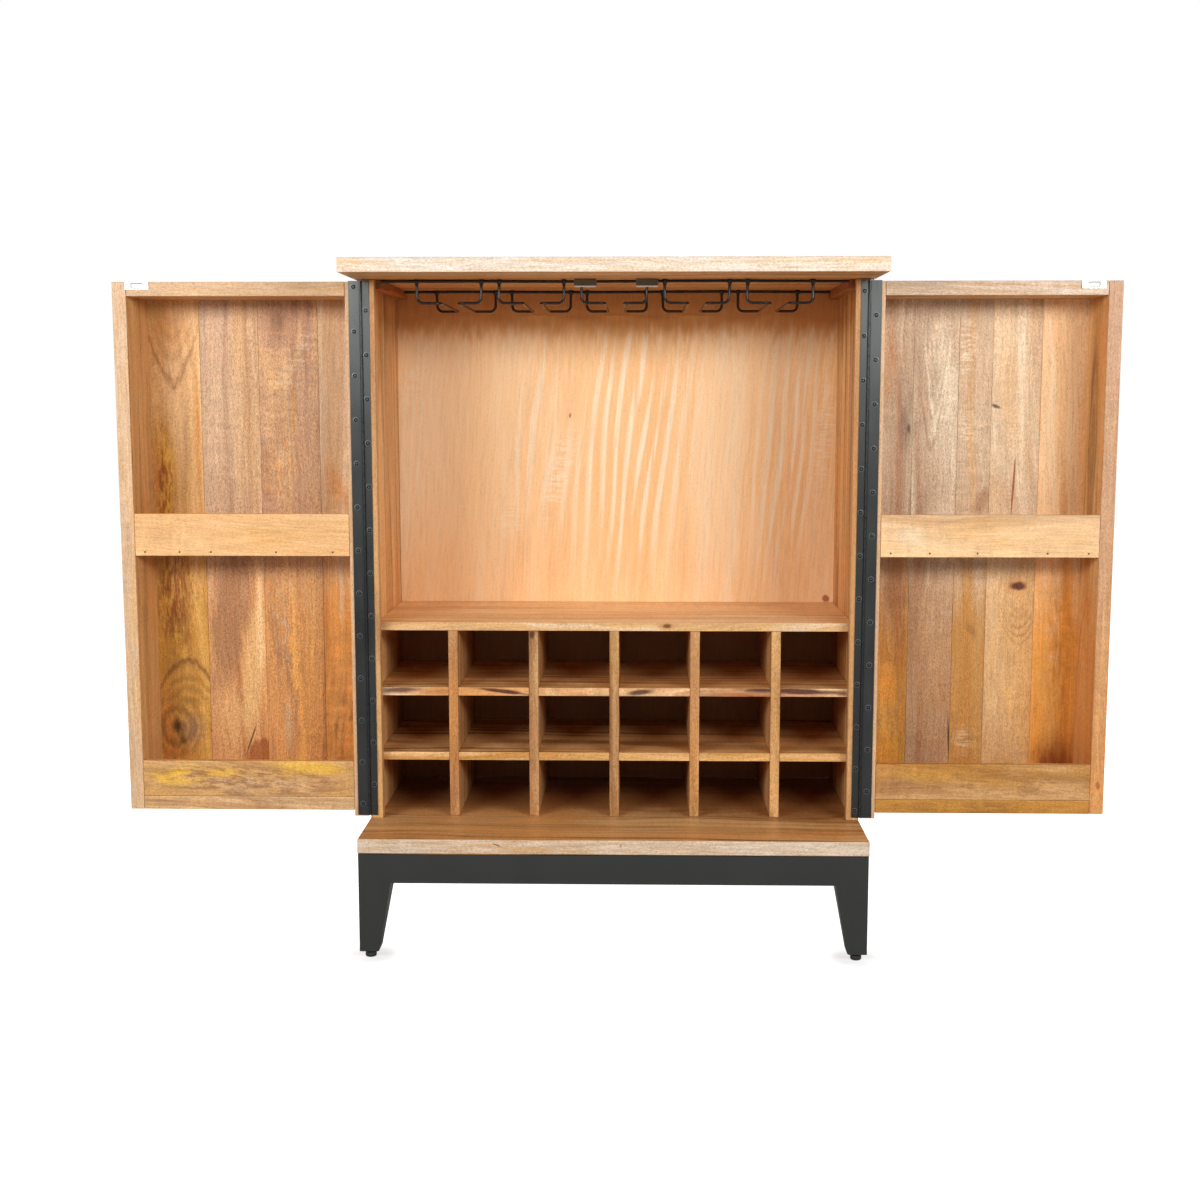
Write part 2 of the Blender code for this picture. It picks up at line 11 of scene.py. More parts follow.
import bmesh
import bpy
import numpy as np
from bpy.props import FloatProperty, FloatVectorProperty, IntProperty, PointerProperty
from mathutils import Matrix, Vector


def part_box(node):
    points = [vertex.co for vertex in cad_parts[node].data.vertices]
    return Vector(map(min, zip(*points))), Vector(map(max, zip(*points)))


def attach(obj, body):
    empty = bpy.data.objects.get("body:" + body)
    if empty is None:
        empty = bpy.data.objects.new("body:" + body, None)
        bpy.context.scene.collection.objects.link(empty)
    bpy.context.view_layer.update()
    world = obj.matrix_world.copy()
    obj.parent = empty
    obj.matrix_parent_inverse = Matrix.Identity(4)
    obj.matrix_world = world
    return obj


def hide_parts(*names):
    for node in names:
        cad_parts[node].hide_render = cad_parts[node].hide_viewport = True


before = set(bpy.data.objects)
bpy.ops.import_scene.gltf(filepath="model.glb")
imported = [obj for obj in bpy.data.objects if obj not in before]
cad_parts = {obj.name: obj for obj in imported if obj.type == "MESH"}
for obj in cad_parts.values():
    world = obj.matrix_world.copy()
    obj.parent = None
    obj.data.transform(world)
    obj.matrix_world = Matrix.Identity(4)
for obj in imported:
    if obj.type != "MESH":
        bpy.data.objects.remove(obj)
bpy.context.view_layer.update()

bl_info = {
    "name": "Bar Cabinet Looks",
    "version": (1, 0, 0),
    "blender": (4, 5, 0),
    "location": "View3D > Sidebar > Bar Cabinet",
    "description": "Finished boards, hinges, rack and base for a two-door bar cabinet",
    "category": "Object",
}

sides = (("left", -1), ("right", 1))
joint_gap = 0.0003          # room between two boards that meet
leaf_thickness = 0.001      # of the hinges
finished = {}               # the materials made so far, by name


def linear(red, green, blue):
    """Linear light of a screen colour that is written from 0 to 255."""
    screen = np.array((red, green, blue)) / 255
    light = np.where(screen <= 0.04045, screen / 12.92, ((screen + 0.055) / 1.055) ** 2.4)
    return tuple(float(value) for value in light)


def swatch(name, description, red, green, blue):
    """A colour setting whose default is a screen colour."""
    return FloatVectorProperty(name=name, description=description, subtype="COLOR", size=3,
                               min=0, max=1, default=linear(red, green, blue))


def length(name, description, default):
    """A length setting."""
    return FloatProperty(name=name, description=description, default=default, min=0,
                         unit="LENGTH", subtype="DISTANCE", precision=5)


class CabinetWoods(bpy.types.PropertyGroup):
    """The colours that the mango boards are mixed from."""

    cream: swatch("Cream", "Bleached sapwood", 246, 228, 198)
    lime: swatch("Lime", "White wash in the open grain", 238, 226, 212)
    pale: swatch("Pale", "Washed edges of the top and base boards", 226, 198, 168)
    pinkish: swatch("Pinkish", "Pale sapwood with a pink cast", 214, 176, 138)
    peach: swatch("Peach", "Light ribbons of the back veneer", 252, 208, 156)
    amber: swatch("Amber", "Back veneer between the ribbons", 240, 186, 128)
    honey: swatch("Honey", "The common light wood", 226, 178, 118)
    gold: swatch("Gold", "Yellow heartwood", 208, 152, 70)
    lemon: swatch("Lemon", "Fungus-yellow patches", 240, 188, 74)
    ochre: swatch("Ochre", "Darker yellow wood", 186, 128, 54)
    tan: swatch("Tan", "The common middle wood", 206, 158, 104)
    orange: swatch("Orange", "Warm heartwood", 216, 146, 76)
    marigold: swatch("Marigold", "Bright orange stripes", 234, 158, 68)
    rust: swatch("Rust", "Reddish heartwood", 156, 82, 38)
    mauve: swatch("Mauve", "Greyish pink-brown wood", 194, 150, 118)
    taupe: swatch("Taupe", "Darker grey-brown wood", 168, 120, 82)
    plum: swatch("Plum", "Dark purple streaks", 84, 44, 38)
    brown: swatch("Brown", "Mid brown", 148, 98, 54)
    umber: swatch("Umber", "Knots and cracks", 62, 34, 20)
    grey: swatch("Grey", "Weathered sapwood", 208, 182, 152)
    beige: swatch("Beige", "Plain sapwood", 204, 171, 137)


class CabinetMetals(bpy.types.PropertyGroup):
    """The colours of paint and metal."""

    base_paint: swatch("Base paint", "Charcoal paint of the base frame", 48, 50, 48)
    hinge_steel: swatch("Hinge steel", "Dark plated leaves of the hinges", 58, 60, 59)
    rack_steel: swatch("Rack steel", "Black wires of the stemware rack", 44, 39, 36)
    zinc: swatch("Zinc", "Bright strike plates", 198, 198, 195)
    catch_body: swatch("Catch", "Grey-brown catch bodies", 112, 98, 78)
    rubber: swatch("Rubber", "Pads of the levelling feet", 30, 30, 30)


class CabinetShapes(bpy.types.PropertyGroup):
    """The small sizes that the finished pieces add to the frame."""

    board_edge: length("Board edge", "Rounding of the sawn boards", 0.0009)
    top_edge: length("Top edge", "Rounding of the top and base boards", 0.0018)
    plank_edge: length("Plank edge", "Rounding beside a glued seam", 0.0004)
    plank_seam: length("Plank seam", "Gap between two glued planks", 0.0002)
    surface_wave: length("Surface wave", "Depth of the waves in a planed face", 0.00012)
    cell: length("Cell", "Largest face of a board's skin", 0.045)
    steel_edge: length("Steel edge", "Rounding of the base frame", 0.0016)
    toe_round: length("Toe rounding", "Rounding of the leg's inner toe", 0.003)
    screw_pitch: length("Screw pitch", "Distance between two hinge screws", 0.0686)
    screw_radius: length("Screw radius", "Head of a hinge screw", 0.0036)
    nail_radius: length("Nail radius", "Head of a rail nail", 0.0015)
    weld_size: length("Weld", "Length of a weld on the rack", 0.0070)
    knuckles_between: IntProperty(name="Knuckles", default=51, min=5,
                                  description="Knuckles along a piano hinge")


class CabinetStage(bpy.types.PropertyGroup):
    """The camera, the lamps and the floor."""

    lens: FloatProperty(name="Lens", description="Focal length", default=47.654,
                        unit="CAMERA")
    shift: FloatProperty(name="Shift", description="Sideways shift of the view", default=-0.005)
    camera_place: FloatVectorProperty(name="Camera place", description="Where the camera stands",
                                      subtype="XYZ", unit="LENGTH",
                                      default=(0.04082, -2.58546, 0.86444))
    camera_pitch: FloatProperty(name="Pitch", description="Downward tilt of the view",
                                subtype="ANGLE", default=math.radians(7.169))
    camera_turn: FloatProperty(name="Turn", description="Turn of the view to the left",
                               subtype="ANGLE", default=math.radians(1.226))
    key_power: FloatProperty(name="Key lamps", description="Power of each wide front lamp",
                             subtype="POWER", default=59.0)
    rear_power: FloatProperty(name="Rear lamp", description="Power of the lamp behind",
                              subtype="POWER", default=60.0)
    side_power: FloatProperty(name="Side lamps", description="Power of each side lamp",
                              subtype="POWER", default=30.0)
    sky: FloatProperty(name="Sky", description="Light from all round", default=0.06)
    floor_colour: swatch("Floor", "Plain pale floor", 200, 200, 200)


class Value:
    """A node socket that Python's operators turn into Math nodes."""

    def __init__(self, nodes, socket):
        self.nodes = nodes
        self.socket = socket

    def maths(self, operation, *terms):
        return self.nodes.node("ShaderNodeMath", {"operation": operation},
                               dict(enumerate(terms)))

    def __add__(self, other):
        return self.maths("ADD", self, other)

    def __sub__(self, other):
        return self.maths("SUBTRACT", self, other)

    def __rsub__(self, other):
        return self.maths("SUBTRACT", other, self)

    def __mul__(self, other):
        return self.maths("MULTIPLY", self, other)

    def __abs__(self):
        return self.maths("ABSOLUTE", self)

    __radd__ = __add__
    __rmul__ = __mul__

    def wave(self):
        """The sine, scaled to run from 0 to 1."""
        return self.maths("SINE", self) * 0.5 + 0.5

    def smooth(self, start, end):
        """0 below the start, 1 above the end and a smooth step between them."""
        return self.nodes.node("ShaderNodeMapRange", {"interpolation_type": "SMOOTHSTEP"},
                               {"Value": self, "From Min": start, "From Max": end})


class Nodes:
    """A node tree that grows one call at a time."""

    def __init__(self, tree):
        self.tree = tree

    def feed(self, socket, value):
        """Link a socket to a value of the nodes, or write a plain value in it."""
        if isinstance(value, Value):
            self.tree.links.new(value.socket, socket)
        else:
            socket.default_value = value

    def node(self, kind, settings=None, sockets=None, out=0):
        """Add a node: first its settings, then the values or links of its sockets."""
        made = self.tree.nodes.new(kind)
        for key, value in (settings or {}).items():
            if key == "stops":
                ramp = made.color_ramp.elements
                while len(ramp) < len(value):
                    ramp.new(1.0)
                for stop, (position, colour) in zip(ramp, value):
                    stop.position = position
                    stop.color = colour
            else:
                setattr(made, key, value)
        for key, value in (sockets or {}).items():
            self.feed(made.inputs[key], value)
        return Value(self, made.outputs[out])

    def parts(self, vector):
        """The X, Y and Z of a vector."""
        made = self.node("ShaderNodeSeparateXYZ", {}, {0: vector})
        return [Value(self, output) for output in made.socket.node.outputs]

    def vector(self, operation, first, second):
        """Two vectors through a Vector Math node."""
        return self.node("ShaderNodeVectorMath", {"operation": operation},
                         {0: first, 1: second})

    def distance(self, vector):
        """How far a place is from zero."""
        return self.node("ShaderNodeVectorMath", {"operation": "LENGTH"}, {0: vector}, "Value")

    def scaled(self, colour, factor):
        """A colour made brighter or darker by a factor."""
        return self.node("ShaderNodeVectorMath", {"operation": "SCALE"},
                         {0: colour, "Scale": factor})

    def mix(self, first, second, factor, blend="MIX"):
        """The second colour over the first, by a factor."""
        return self.node("ShaderNodeMix", {"data_type": "RGBA", "blend_type": blend},
                         {0: factor, 6: first, 7: second}, 2)

    def noise(self, place, stretch, detail=2.0, roughness=0.5, out=0):
        """Cloudy noise with so many changes a metre along each axis."""
        place = self.vector("MULTIPLY", place, stretch)
        sockets = {"Vector": place, "Scale": 1.0, "Detail": detail, "Roughness": roughness}
        return self.node("ShaderNodeTexNoise", {}, sockets, out)


class Finish(Nodes):
    """A material on one Principled shader."""

    def __init__(self, name, roughness=0.5, metallic=0.0, specular=0.5):
        self.material = bpy.data.materials.new(name + "_finish")
        finished[name] = self.material
        self.material.use_nodes = True
        super().__init__(self.material.node_tree)
        self.shader = self.tree.nodes["Principled BSDF"]
        self.surface("Roughness", roughness)
        self.surface("Metallic", metallic)
        self.surface("Specular IOR Level", specular)

    def surface(self, socket, value):
        """Feed one of the shader's sockets."""
        self.feed(self.shader.inputs[socket], value)

    def bump(self, height, distance, strength):
        """Raise the surface by a height from 0 to 1, times a distance."""
        self.surface("Normal", self.node("ShaderNodeBump", {}, {
            "Height": height, "Distance": distance, "Strength": strength}))


@dataclass(frozen=True)
class Grain:
    """How one wood looks. The colours are names of CabinetWoods."""

    light: str
    middle: str
    dark: str
    rings: float = 60.0         # tone changes a metre across the rings
    contrast: float = 1.0       # how far the tone swings from the middle colour
    streak: str = "brown"       # colour of long zones beside the heart
    streak_share: float = 0.0
    cloud: str = "mauve"        # colour of soft patches
    cloud_share: float = 0.0
    # Partly the wood's tone, partly painted shade: the lower end is turned deeper and the part above
    # left paler, in place of the sheen that the lamps give the upper part.
    foot: str = ""              # colour that the board turns to at its lower end
    foot_share: float = 0.0
    foot_start: float = 0.04    # height above the middle where that begins
    foot_end: float = -0.12     # and where it is full
    curl: float = 0.05          # strength of the ripple across the grain
    limed: float = 0.0          # how much white wash lies in the grain
    fibre: float = 0.8          # contrast of the long fine lines
    fleck: float = 1.1          # contrast of the short light and dark flecks
    pores: float = 0.30         # darkness of the open pores
    drift: float = 0.014        # how far the grain lines wander
    lot: float = 0.0            # how much boards of this wood differ in tone


@dataclass(frozen=True)
class Mark:
    """A knot, stain, streak or crack on a face that looks along Y, in metres, or a patch of painted
    light or shade.
    """

    x: float
    z: float
    wide: float
    tall: float
    colour: str
    share: float = 0.8          # how much of the wood it hides
    soft: float = 0.7           # how much of its size is a soft edge
    turn: float = 0.0           # degrees, from upright towards +X
    knot: float = 0.0           # how far it pushes the rings aside
    form: str = "spot"          # or field, floor, arch, bow, ribbon, ripple, flame, swirl
    pitch: float = 0.022        # distance between two stripes of a ribbon, or two flames


class Cut:
    """Where a board was sawn from its log.

    The log's pith is the line through zero. A point's place in the log is its distance
    from the board's middle along the grain, across it and through it, moved by the
    board's distance from the pith and turned by a small slope.
    """

    def __init__(self, name, low, high, along, across, pith=None, slope=None):
        draw = np.random.default_rng(zlib.crc32(name.encode()))
        turn = draw.uniform(0, 2 * math.pi)
        reach = draw.uniform(0.035, 0.09)
        self.start = draw.uniform(0, 50)
        chance_slope = draw.uniform(-0.03, 0.03, 2)
        self.order = (along, across, 3 - along - across)
        self.middle = (np.array(low) + np.array(high)) / 2
        self.pith = pith or (reach * math.cos(turn), reach * math.sin(turn))
        self.slope = slope or tuple(chance_slope)

    def log(self, points):
        """The places in the log of points of the board."""
        local = (np.asarray(points, float) - self.middle)[..., self.order]
        run = local[..., 0]
        return np.stack([run + self.start,
                         local[..., 1] + self.pith[0] + self.slope[0] * run,
                         local[..., 2] + self.pith[1] + self.slope[1] * run], axis=-1)


def wood_colour(name):
    """A named wood colour as red, green, blue and alpha."""
    return (*getattr(bpy.context.scene.cabinet_woods, name), 1.0)


def mark_mask(finish, place, moved, mark, cut, wobble):
    """How much a mark covers each point, and the point's distance from its middle.

    The mask is 1 inside, 0 outside and soft between, and the distance is in half sizes of
    the mark. A field has an even edge, and a floor is a field on a face that looks up, so
    that its z means Y. An arch is the line where the rise equals the bowed sideways
    distance, with fainter ones above it, and a bow is the same without a point. A ribbon
    is a set of even, bending stripes along the grain, and a ripple a set of short ones
    across it. A flame is a ragged cloud, a swirl a set of circles and a spot a ragged patch.
    """
    upright = cut.order[0] == 2
    lying = mark.form == "floor"
    across = 2 if cut.order[1] == 1 and not lying else 1
    size = (mark.tall, mark.wide) if upright else (mark.wide, mark.tall)
    angle = math.radians(mark.turn if upright else -mark.turn)
    centre = cut.log((mark.x, mark.z, 0) if lying else (mark.x, cut.middle[1], mark.z))
    endless = 1000.0
    scale, rotation = [size[0] / 2, endless, endless], [0.0, 0.0, 0.0]
    scale[across] = size[1] / 2
    rotation[3 - across] = angle if across == 1 else -angle
    near = finish.node("ShaderNodeMapping", {"vector_type": "TEXTURE"},
                       {"Vector": place, "Location": tuple(centre),
                        "Rotation": tuple(rotation), "Scale": tuple(scale)})
    distance = finish.distance(near)
    if mark.form == "spot":
        ragged = distance + (wobble - 0.5) * 0.7
        return 1 - ragged.smooth(1 - mark.soft, 1.0), distance
    if mark.form == "swirl":
        circles = (distance * 24 + wobble * 9).wave()
        return circles * (1 - distance.smooth(0.3, 1.0)), distance
    axes = finish.parts(near)
    rise, side = axes[0], axes[across]
    if mark.form in ("arch", "bow"):
        bowed = side * side * 1.7 if mark.form == "bow" else side * side * 0.9 + abs(side) * 0.8
        height = rise - bowed + 0.7 + (wobble - 0.5) * 0.5
        line = 1 - abs(height).smooth(0.0, mark.soft)
        nested = (height * 14).wave() * height.smooth(0.1, 0.4) * 0.45
        return (line + nested) * (1 - distance.smooth(0.7, 1.2)), distance
    mask = 1 - distance.smooth(1 - mark.soft, 1.0)
    if mark.form == "ribbon":
        bend = finish.noise(place, (2.2, 9, 0), 1) * 15
        stripes = (side * (math.pi * mark.wide / mark.pitch) + bend).wave()
        broken = finish.noise(moved, (4, 60, 0), 2, 0.6).smooth(0.32, 0.56)
        mask = mask * stripes.smooth(0.35, 0.95) * broken
    if mark.form == "ripple":
        mask = mask * finish.noise(moved, (230, 38, 38), 2, 0.5).smooth(0.40, 0.65)
    if mark.form == "flame":
        fine = 1 / mark.pitch
        flames = finish.noise(moved, (fine * 0.25, fine, fine), 3, 0.65)
        mask = mask * flames.smooth(0.45, 0.60)
    return mask, distance


def wood(name, grain, marks=(), cut=None):
    """Mango wood as a solid log: rings round the pith, zones, clouds, pores and marks.

    The ring number of a point is its distance from the pith, after two slow noises have
    moved the point across the grain. Noise along that number gives the light and dark
    lines, and because it changes slowly along the log, the lines run with the grain.
    The cut is needed where the wood has marks or a foot.
    """
    if name in finished:
        return finished[name]
    finish = Finish(name, specular=0.25)
    place = finish.node("ShaderNodeAttribute", {"attribute_name": "grain"}, out="Vector")
    moved = place
    for stretch, reach in (((2.2, 6, 6), grain.drift * 4), ((24, 30, 30), grain.drift / 4)):
        shift = finish.vector("SUBTRACT", finish.noise(place, stretch, out=1), (0.5, 0.5, 0.5))
        moved = finish.vector("ADD", moved, finish.vector("MULTIPLY", shift, (0, reach, reach)))
    wobble = finish.noise(place, (26, 90, 90))
    masks = [(mark, *mark_mask(finish, place, moved, mark, cut, wobble)) for mark in marks]

    run = finish.parts(moved)[0]
    radius = finish.distance(finish.vector("MULTIPLY", moved, (0, 1, 1)))
    for mark, _, distance in masks:
        if mark.knot:
            radius = radius + (1 - distance.smooth(0.0, 2.4)) * mark.knot
    ring_place = finish.node("ShaderNodeCombineXYZ", {}, {0: run * 0.9, 1: radius * grain.rings})
    rings = finish.noise(ring_place, (1, 1, 1), 5.0, 0.62)
    spread = 0.17 / grain.contrast
    stops = [(0.5 - spread, wood_colour(grain.dark)), (0.5, wood_colour(grain.middle)),
             (0.5 + spread, wood_colour(grain.light))]
    colour = finish.node("ShaderNodeValToRGB", {"stops": stops}, {0: rings})

    if grain.streak_share:
        zones = finish.noise(moved, (0.9, 17, 17), 3, 0.55).smooth(0.50, 0.64)
        colour = finish.mix(colour, wood_colour(grain.streak), zones * grain.streak_share)
    if grain.cloud_share:
        clouds = finish.noise(moved, (3.2, 11, 11), 3, 0.6).smooth(0.42, 0.68)
        colour = finish.mix(colour, wood_colour(grain.cloud), clouds * grain.cloud_share)
    # Partly painted shade: the lower end turns to the foot colour, so the paler upper part stands in
    # for the lamps' sheen.
    if grain.foot_share:
        rise = run - cut.start + (wobble - 0.5) * 0.1 + (rings - 0.5) * 0.3
        lower = 1 - rise.smooth(grain.foot_end, grain.foot_start)
        tint = np.array(wood_colour(grain.foot)) / np.array(wood_colour(grain.middle))
        colour = finish.mix(colour, tuple(tint), lower * grain.foot_share, "MULTIPLY")
    if grain.limed:
        washed = finish.noise(place, (13, 210, 210), 4, 0.66).smooth(0.38, 0.62)
        colour = finish.mix(colour, wood_colour("lime"), washed * grain.limed)
    for mark, mask, _ in masks:
        colour = finish.mix(colour, wood_colour(mark.colour), mask * mark.share)

    fleck_light, fleck_dark = (1.32, 1.34, 1.36, 1.0), (0.66, 0.54, 0.44, 1.0)
    fibres = finish.noise(moved, (13, 290, 290), 3, 0.7) - 0.5
    flecks = finish.noise(place, (280, 560, 560), 2, 0.75)
    pores = finish.noise(place, (150, 640, 640), 1).smooth(0.56, 0.70)
    curl = finish.noise(moved, (90, 20, 20), 2, 0.6) - 0.5
    curl = curl * finish.noise(place, (4, 12, 12), 1).smooth(0.42, 0.62)
    lots = finish.noise(place, (0.21, 0, 0), 0) - 0.5
    tone = 1.04 + fibres * grain.fibre + curl * (grain.curl * 8) + lots * (grain.lot * 4)
    for mask, tint, share in ((flecks.smooth(0.48, 0.72), fleck_light, grain.fleck / 2),
                              (1 - flecks.smooth(0.28, 0.52), fleck_dark, grain.fleck / 2),
                              (pores, fleck_dark, grain.pores)):
        colour = finish.mix(colour, tint, mask * share, "MULTIPLY")
    finish.surface("Base Color", finish.scaled(colour, tone))
    finish.surface("Roughness", 0.37 - (rings - 0.5) * 0.2 + pores * 0.3)
    finish.bump(fibres * 0.5 + (flecks - 0.5) * 0.5 - pores * 0.6, 0.00022, 0.6)
    return finish.material


def painted(name, colour, roughness, metallic=0.0, mottle=0.12, specular=0.5, wear=None,
            painted_highlight=0.0):
    """Paint or plating: a colour with faint blotches, fine grain and a little relief.

    Wear is the colour of worn patches. The last argument paints a highlight: how much
    lighter the colour is made towards the top, from Z 0.7 to 1.05.
    """
    if name in finished:
        return finished[name]
    finish = Finish(name, roughness, metallic, specular)
    place = finish.node("ShaderNodeTexCoord", out="Object")
    blotches = finish.noise(place, (22, 22, 9), 3)
    grain = finish.noise(place, (900, 900, 900))
    tone = 1 + (blotches - 0.5) * (2 * mottle) + (grain - 0.5) * mottle
    # Painted highlight: the colour grows lighter from Z 0.7 to 1.05, in place of the lamps'
    # reflection.
    if painted_highlight:
        tone = tone + finish.parts(place)[2].smooth(0.70, 1.05) * painted_highlight
    base = finish.scaled(tuple(colour), tone)
    if wear:
        wear_and_rim_highlight = finish.noise(place, (60, 60, 5), 4, 0.7).smooth(0.56, 0.70)
        base = finish.mix(base, (*wear, 1.0), wear_and_rim_highlight * 0.5)
    finish.surface("Base Color", base)
    finish.surface("Roughness", roughness + (blotches - 0.5) * 0.22 + (grain - 0.5) * 0.08)
    finish.bump(grain, 0.00006, 0.5)
    return finish.material


def steps(low, high, cell):
    """Evenly spaced lines from low to high, no further apart than a cell."""
    return np.linspace(low, high, max(1, math.ceil((high - low) / cell)) + 1)


def box_lines(low, high, cell):
    """The lines of a box along each axis."""
    return [steps(a, b, cell) for a, b in zip(low, high)]


def lattice(lines, filled=None):
    """The skin of the filled cells of a box lattice.

    Point (i, j, k) lies where line i of X, line j of Y and line k of Z cross. A face
    stands wherever a filled cell meets an empty one, and looks into the empty one.
    """
    shape = tuple(len(axis) for axis in lines)
    if filled is None:
        filled = np.ones([count - 1 for count in shape], bool)
    points = np.stack(np.meshgrid(*lines, indexing="ij"), axis=-1).reshape(-1, 3)
    index = np.arange(len(points)).reshape(shape)
    cells = np.pad(filled, 1)
    quads = []
    for axis in range(3):
        order = (axis, (axis + 1) % 3, (axis + 2) % 3)
        at = index.transpose(order)
        corners = np.stack([at[:, :-1, :-1], at[:, 1:, :-1], at[:, 1:, 1:], at[:, :-1, 1:]], -1)
        along = cells.transpose(order)[:, 1:-1, 1:-1]
        before, after = along[:-1], along[1:]
        quads.append(corners[before & ~after])
        quads.append(corners[after & ~before][:, ::-1])
    used, faces = np.unique(np.concatenate(quads), return_inverse=True)
    return points[used], faces.reshape(-1, 4)


def planed(points, low, high, depth):
    """The outer faces of a box pulled inwards along slow waves, at most by the depth.

    The pull is half the depth times one plus the product of two slanted sines.
    """
    first = np.sin(points @ np.array((31.0, 23.0, 17.0)))
    second = np.sin(points @ np.array((-9.0, 41.0, 13.0)))
    pull = depth / 2 * (1 + first * second)
    moved = points.copy()
    for axis in range(3):
        moved[:, axis] += np.where(np.isclose(points[:, axis], low[axis]), pull, 0)
        moved[:, axis] -= np.where(np.isclose(points[:, axis], high[axis]), pull, 0)
    return moved


def eased(points, faces, width, segments):
    """The same skin with its sharp edges rounded."""
    shape = bmesh.new()
    verts = [shape.verts.new(point) for point in points]
    for face in faces:
        shape.faces.new([verts[i] for i in face])
    shape.normal_update()
    sharp = [edge for edge in shape.edges if edge.calc_face_angle(0) > math.radians(40)]
    bmesh.ops.bevel(shape, geom=sharp, offset=width, segments=segments, profile=0.5,
                    affect="EDGES", clamp_overlap=True)
    shape.verts.index_update()
    rounded = np.array([vert.co for vert in shape.verts])
    loops = [[vert.index for vert in face.verts] for face in shape.faces]
    shape.free()
    return rounded, loops


def skin(rings):
    """A tube through rings of points, with a flat face at each end.

    Rings run round the tube's direction of travel the right-handed way.
    """
    count, around = rings.shape[:2]
    index = np.arange(count * around).reshape(count, around)
    after = np.roll(index, -1, axis=1)
    quads = np.stack([index[:-1], after[:-1], after[1:], index[1:]], -1).reshape(-1, 4)
    return rings.reshape(-1, 3), quads.tolist() + [index[0, ::-1].tolist(), index[-1].tolist()]


def circle(around):
    """The cosine and sine of evenly spaced turns."""
    turn = np.arange(around) * (2 * math.pi / around)
    return np.cos(turn), np.sin(turn)


def tube(path, radii, around=10):
    """A round wire along a path: each ring is a circle square to the path's direction."""
    path = np.asarray(path, float)
    heading = np.gradient(path, axis=0)
    heading /= np.linalg.norm(heading, axis=1, keepdims=True)
    side = np.cross(heading, (0.36, 0.48, 0.8))
    side /= np.linalg.norm(side, axis=1, keepdims=True)
    up = np.cross(heading, side)
    cosine, sine = circle(around)
    radii = np.broadcast_to(radii, len(path))[:, None, None]
    rings = (side[:, None] * cosine[None, :, None] + up[:, None] * sine[None, :, None]) * radii
    return skin(path[:, None] + rings)


def turned(profile, centre, axis, around=24):
    """A profile of (radius, height) points swept round an axis through a centre."""
    axis = np.array(axis, float)
    side = np.cross(axis, (0.0, 0.6, 0.8) if abs(axis[0]) > 0.5 else (1.0, 0.0, 0.0))
    side /= np.linalg.norm(side)
    up = np.cross(axis, side)
    radius, height = np.array(profile, float).T
    cosine, sine = circle(around)
    flat = side * cosine[:, None] + up * sine[:, None]
    rings = radius[:, None, None] * flat + height[:, None, None] * axis
    return skin(rings + np.array(centre))


def arc(centre, radius, start, end, count):
    """Points on an arc, as (x, y), for angles in degrees."""
    turn = np.radians(np.linspace(start, end, count))
    return [(centre[0] + radius * c, centre[1] + radius * s)
            for c, s in zip(np.cos(turn), np.sin(turn))]


def screw_head(centre, axis, radius, slot_turn=0.0, around=20):
    """A countersunk head: a low dome over its rim, with a cross-shaped recess.

    In radii, the dome is 0.16 * (1 - r^2) high and the recess 0.34 deep. The recess
    follows two crossed bars, which fade out before 0.66 of the radius.
    """
    share = np.array([1.0, 1.0, 0.92, 0.78, 0.62, 0.5, 0.36, 0.22, 0.08])[:, None]
    across, up = circle(around)
    bar = np.minimum(np.abs(across), np.abs(up)) * share
    cross = np.clip(1 - bar / 0.17, 0, 1) * np.clip((0.66 - share) / 0.12, 0, 1)
    height = radius * (0.16 * (1 - share ** 2) - 0.34 * cross)
    height[0] = -0.4 * radius
    axis = np.array(axis, float)
    side = np.cross(axis, (math.cos(slot_turn), 0.0, math.sin(slot_turn)))
    side /= np.linalg.norm(side)
    flat = side * across[:, None] + np.cross(axis, side) * up[:, None]
    rings = (share * radius)[..., None] * flat + height[..., None] * axis
    return skin(rings + np.array(centre))


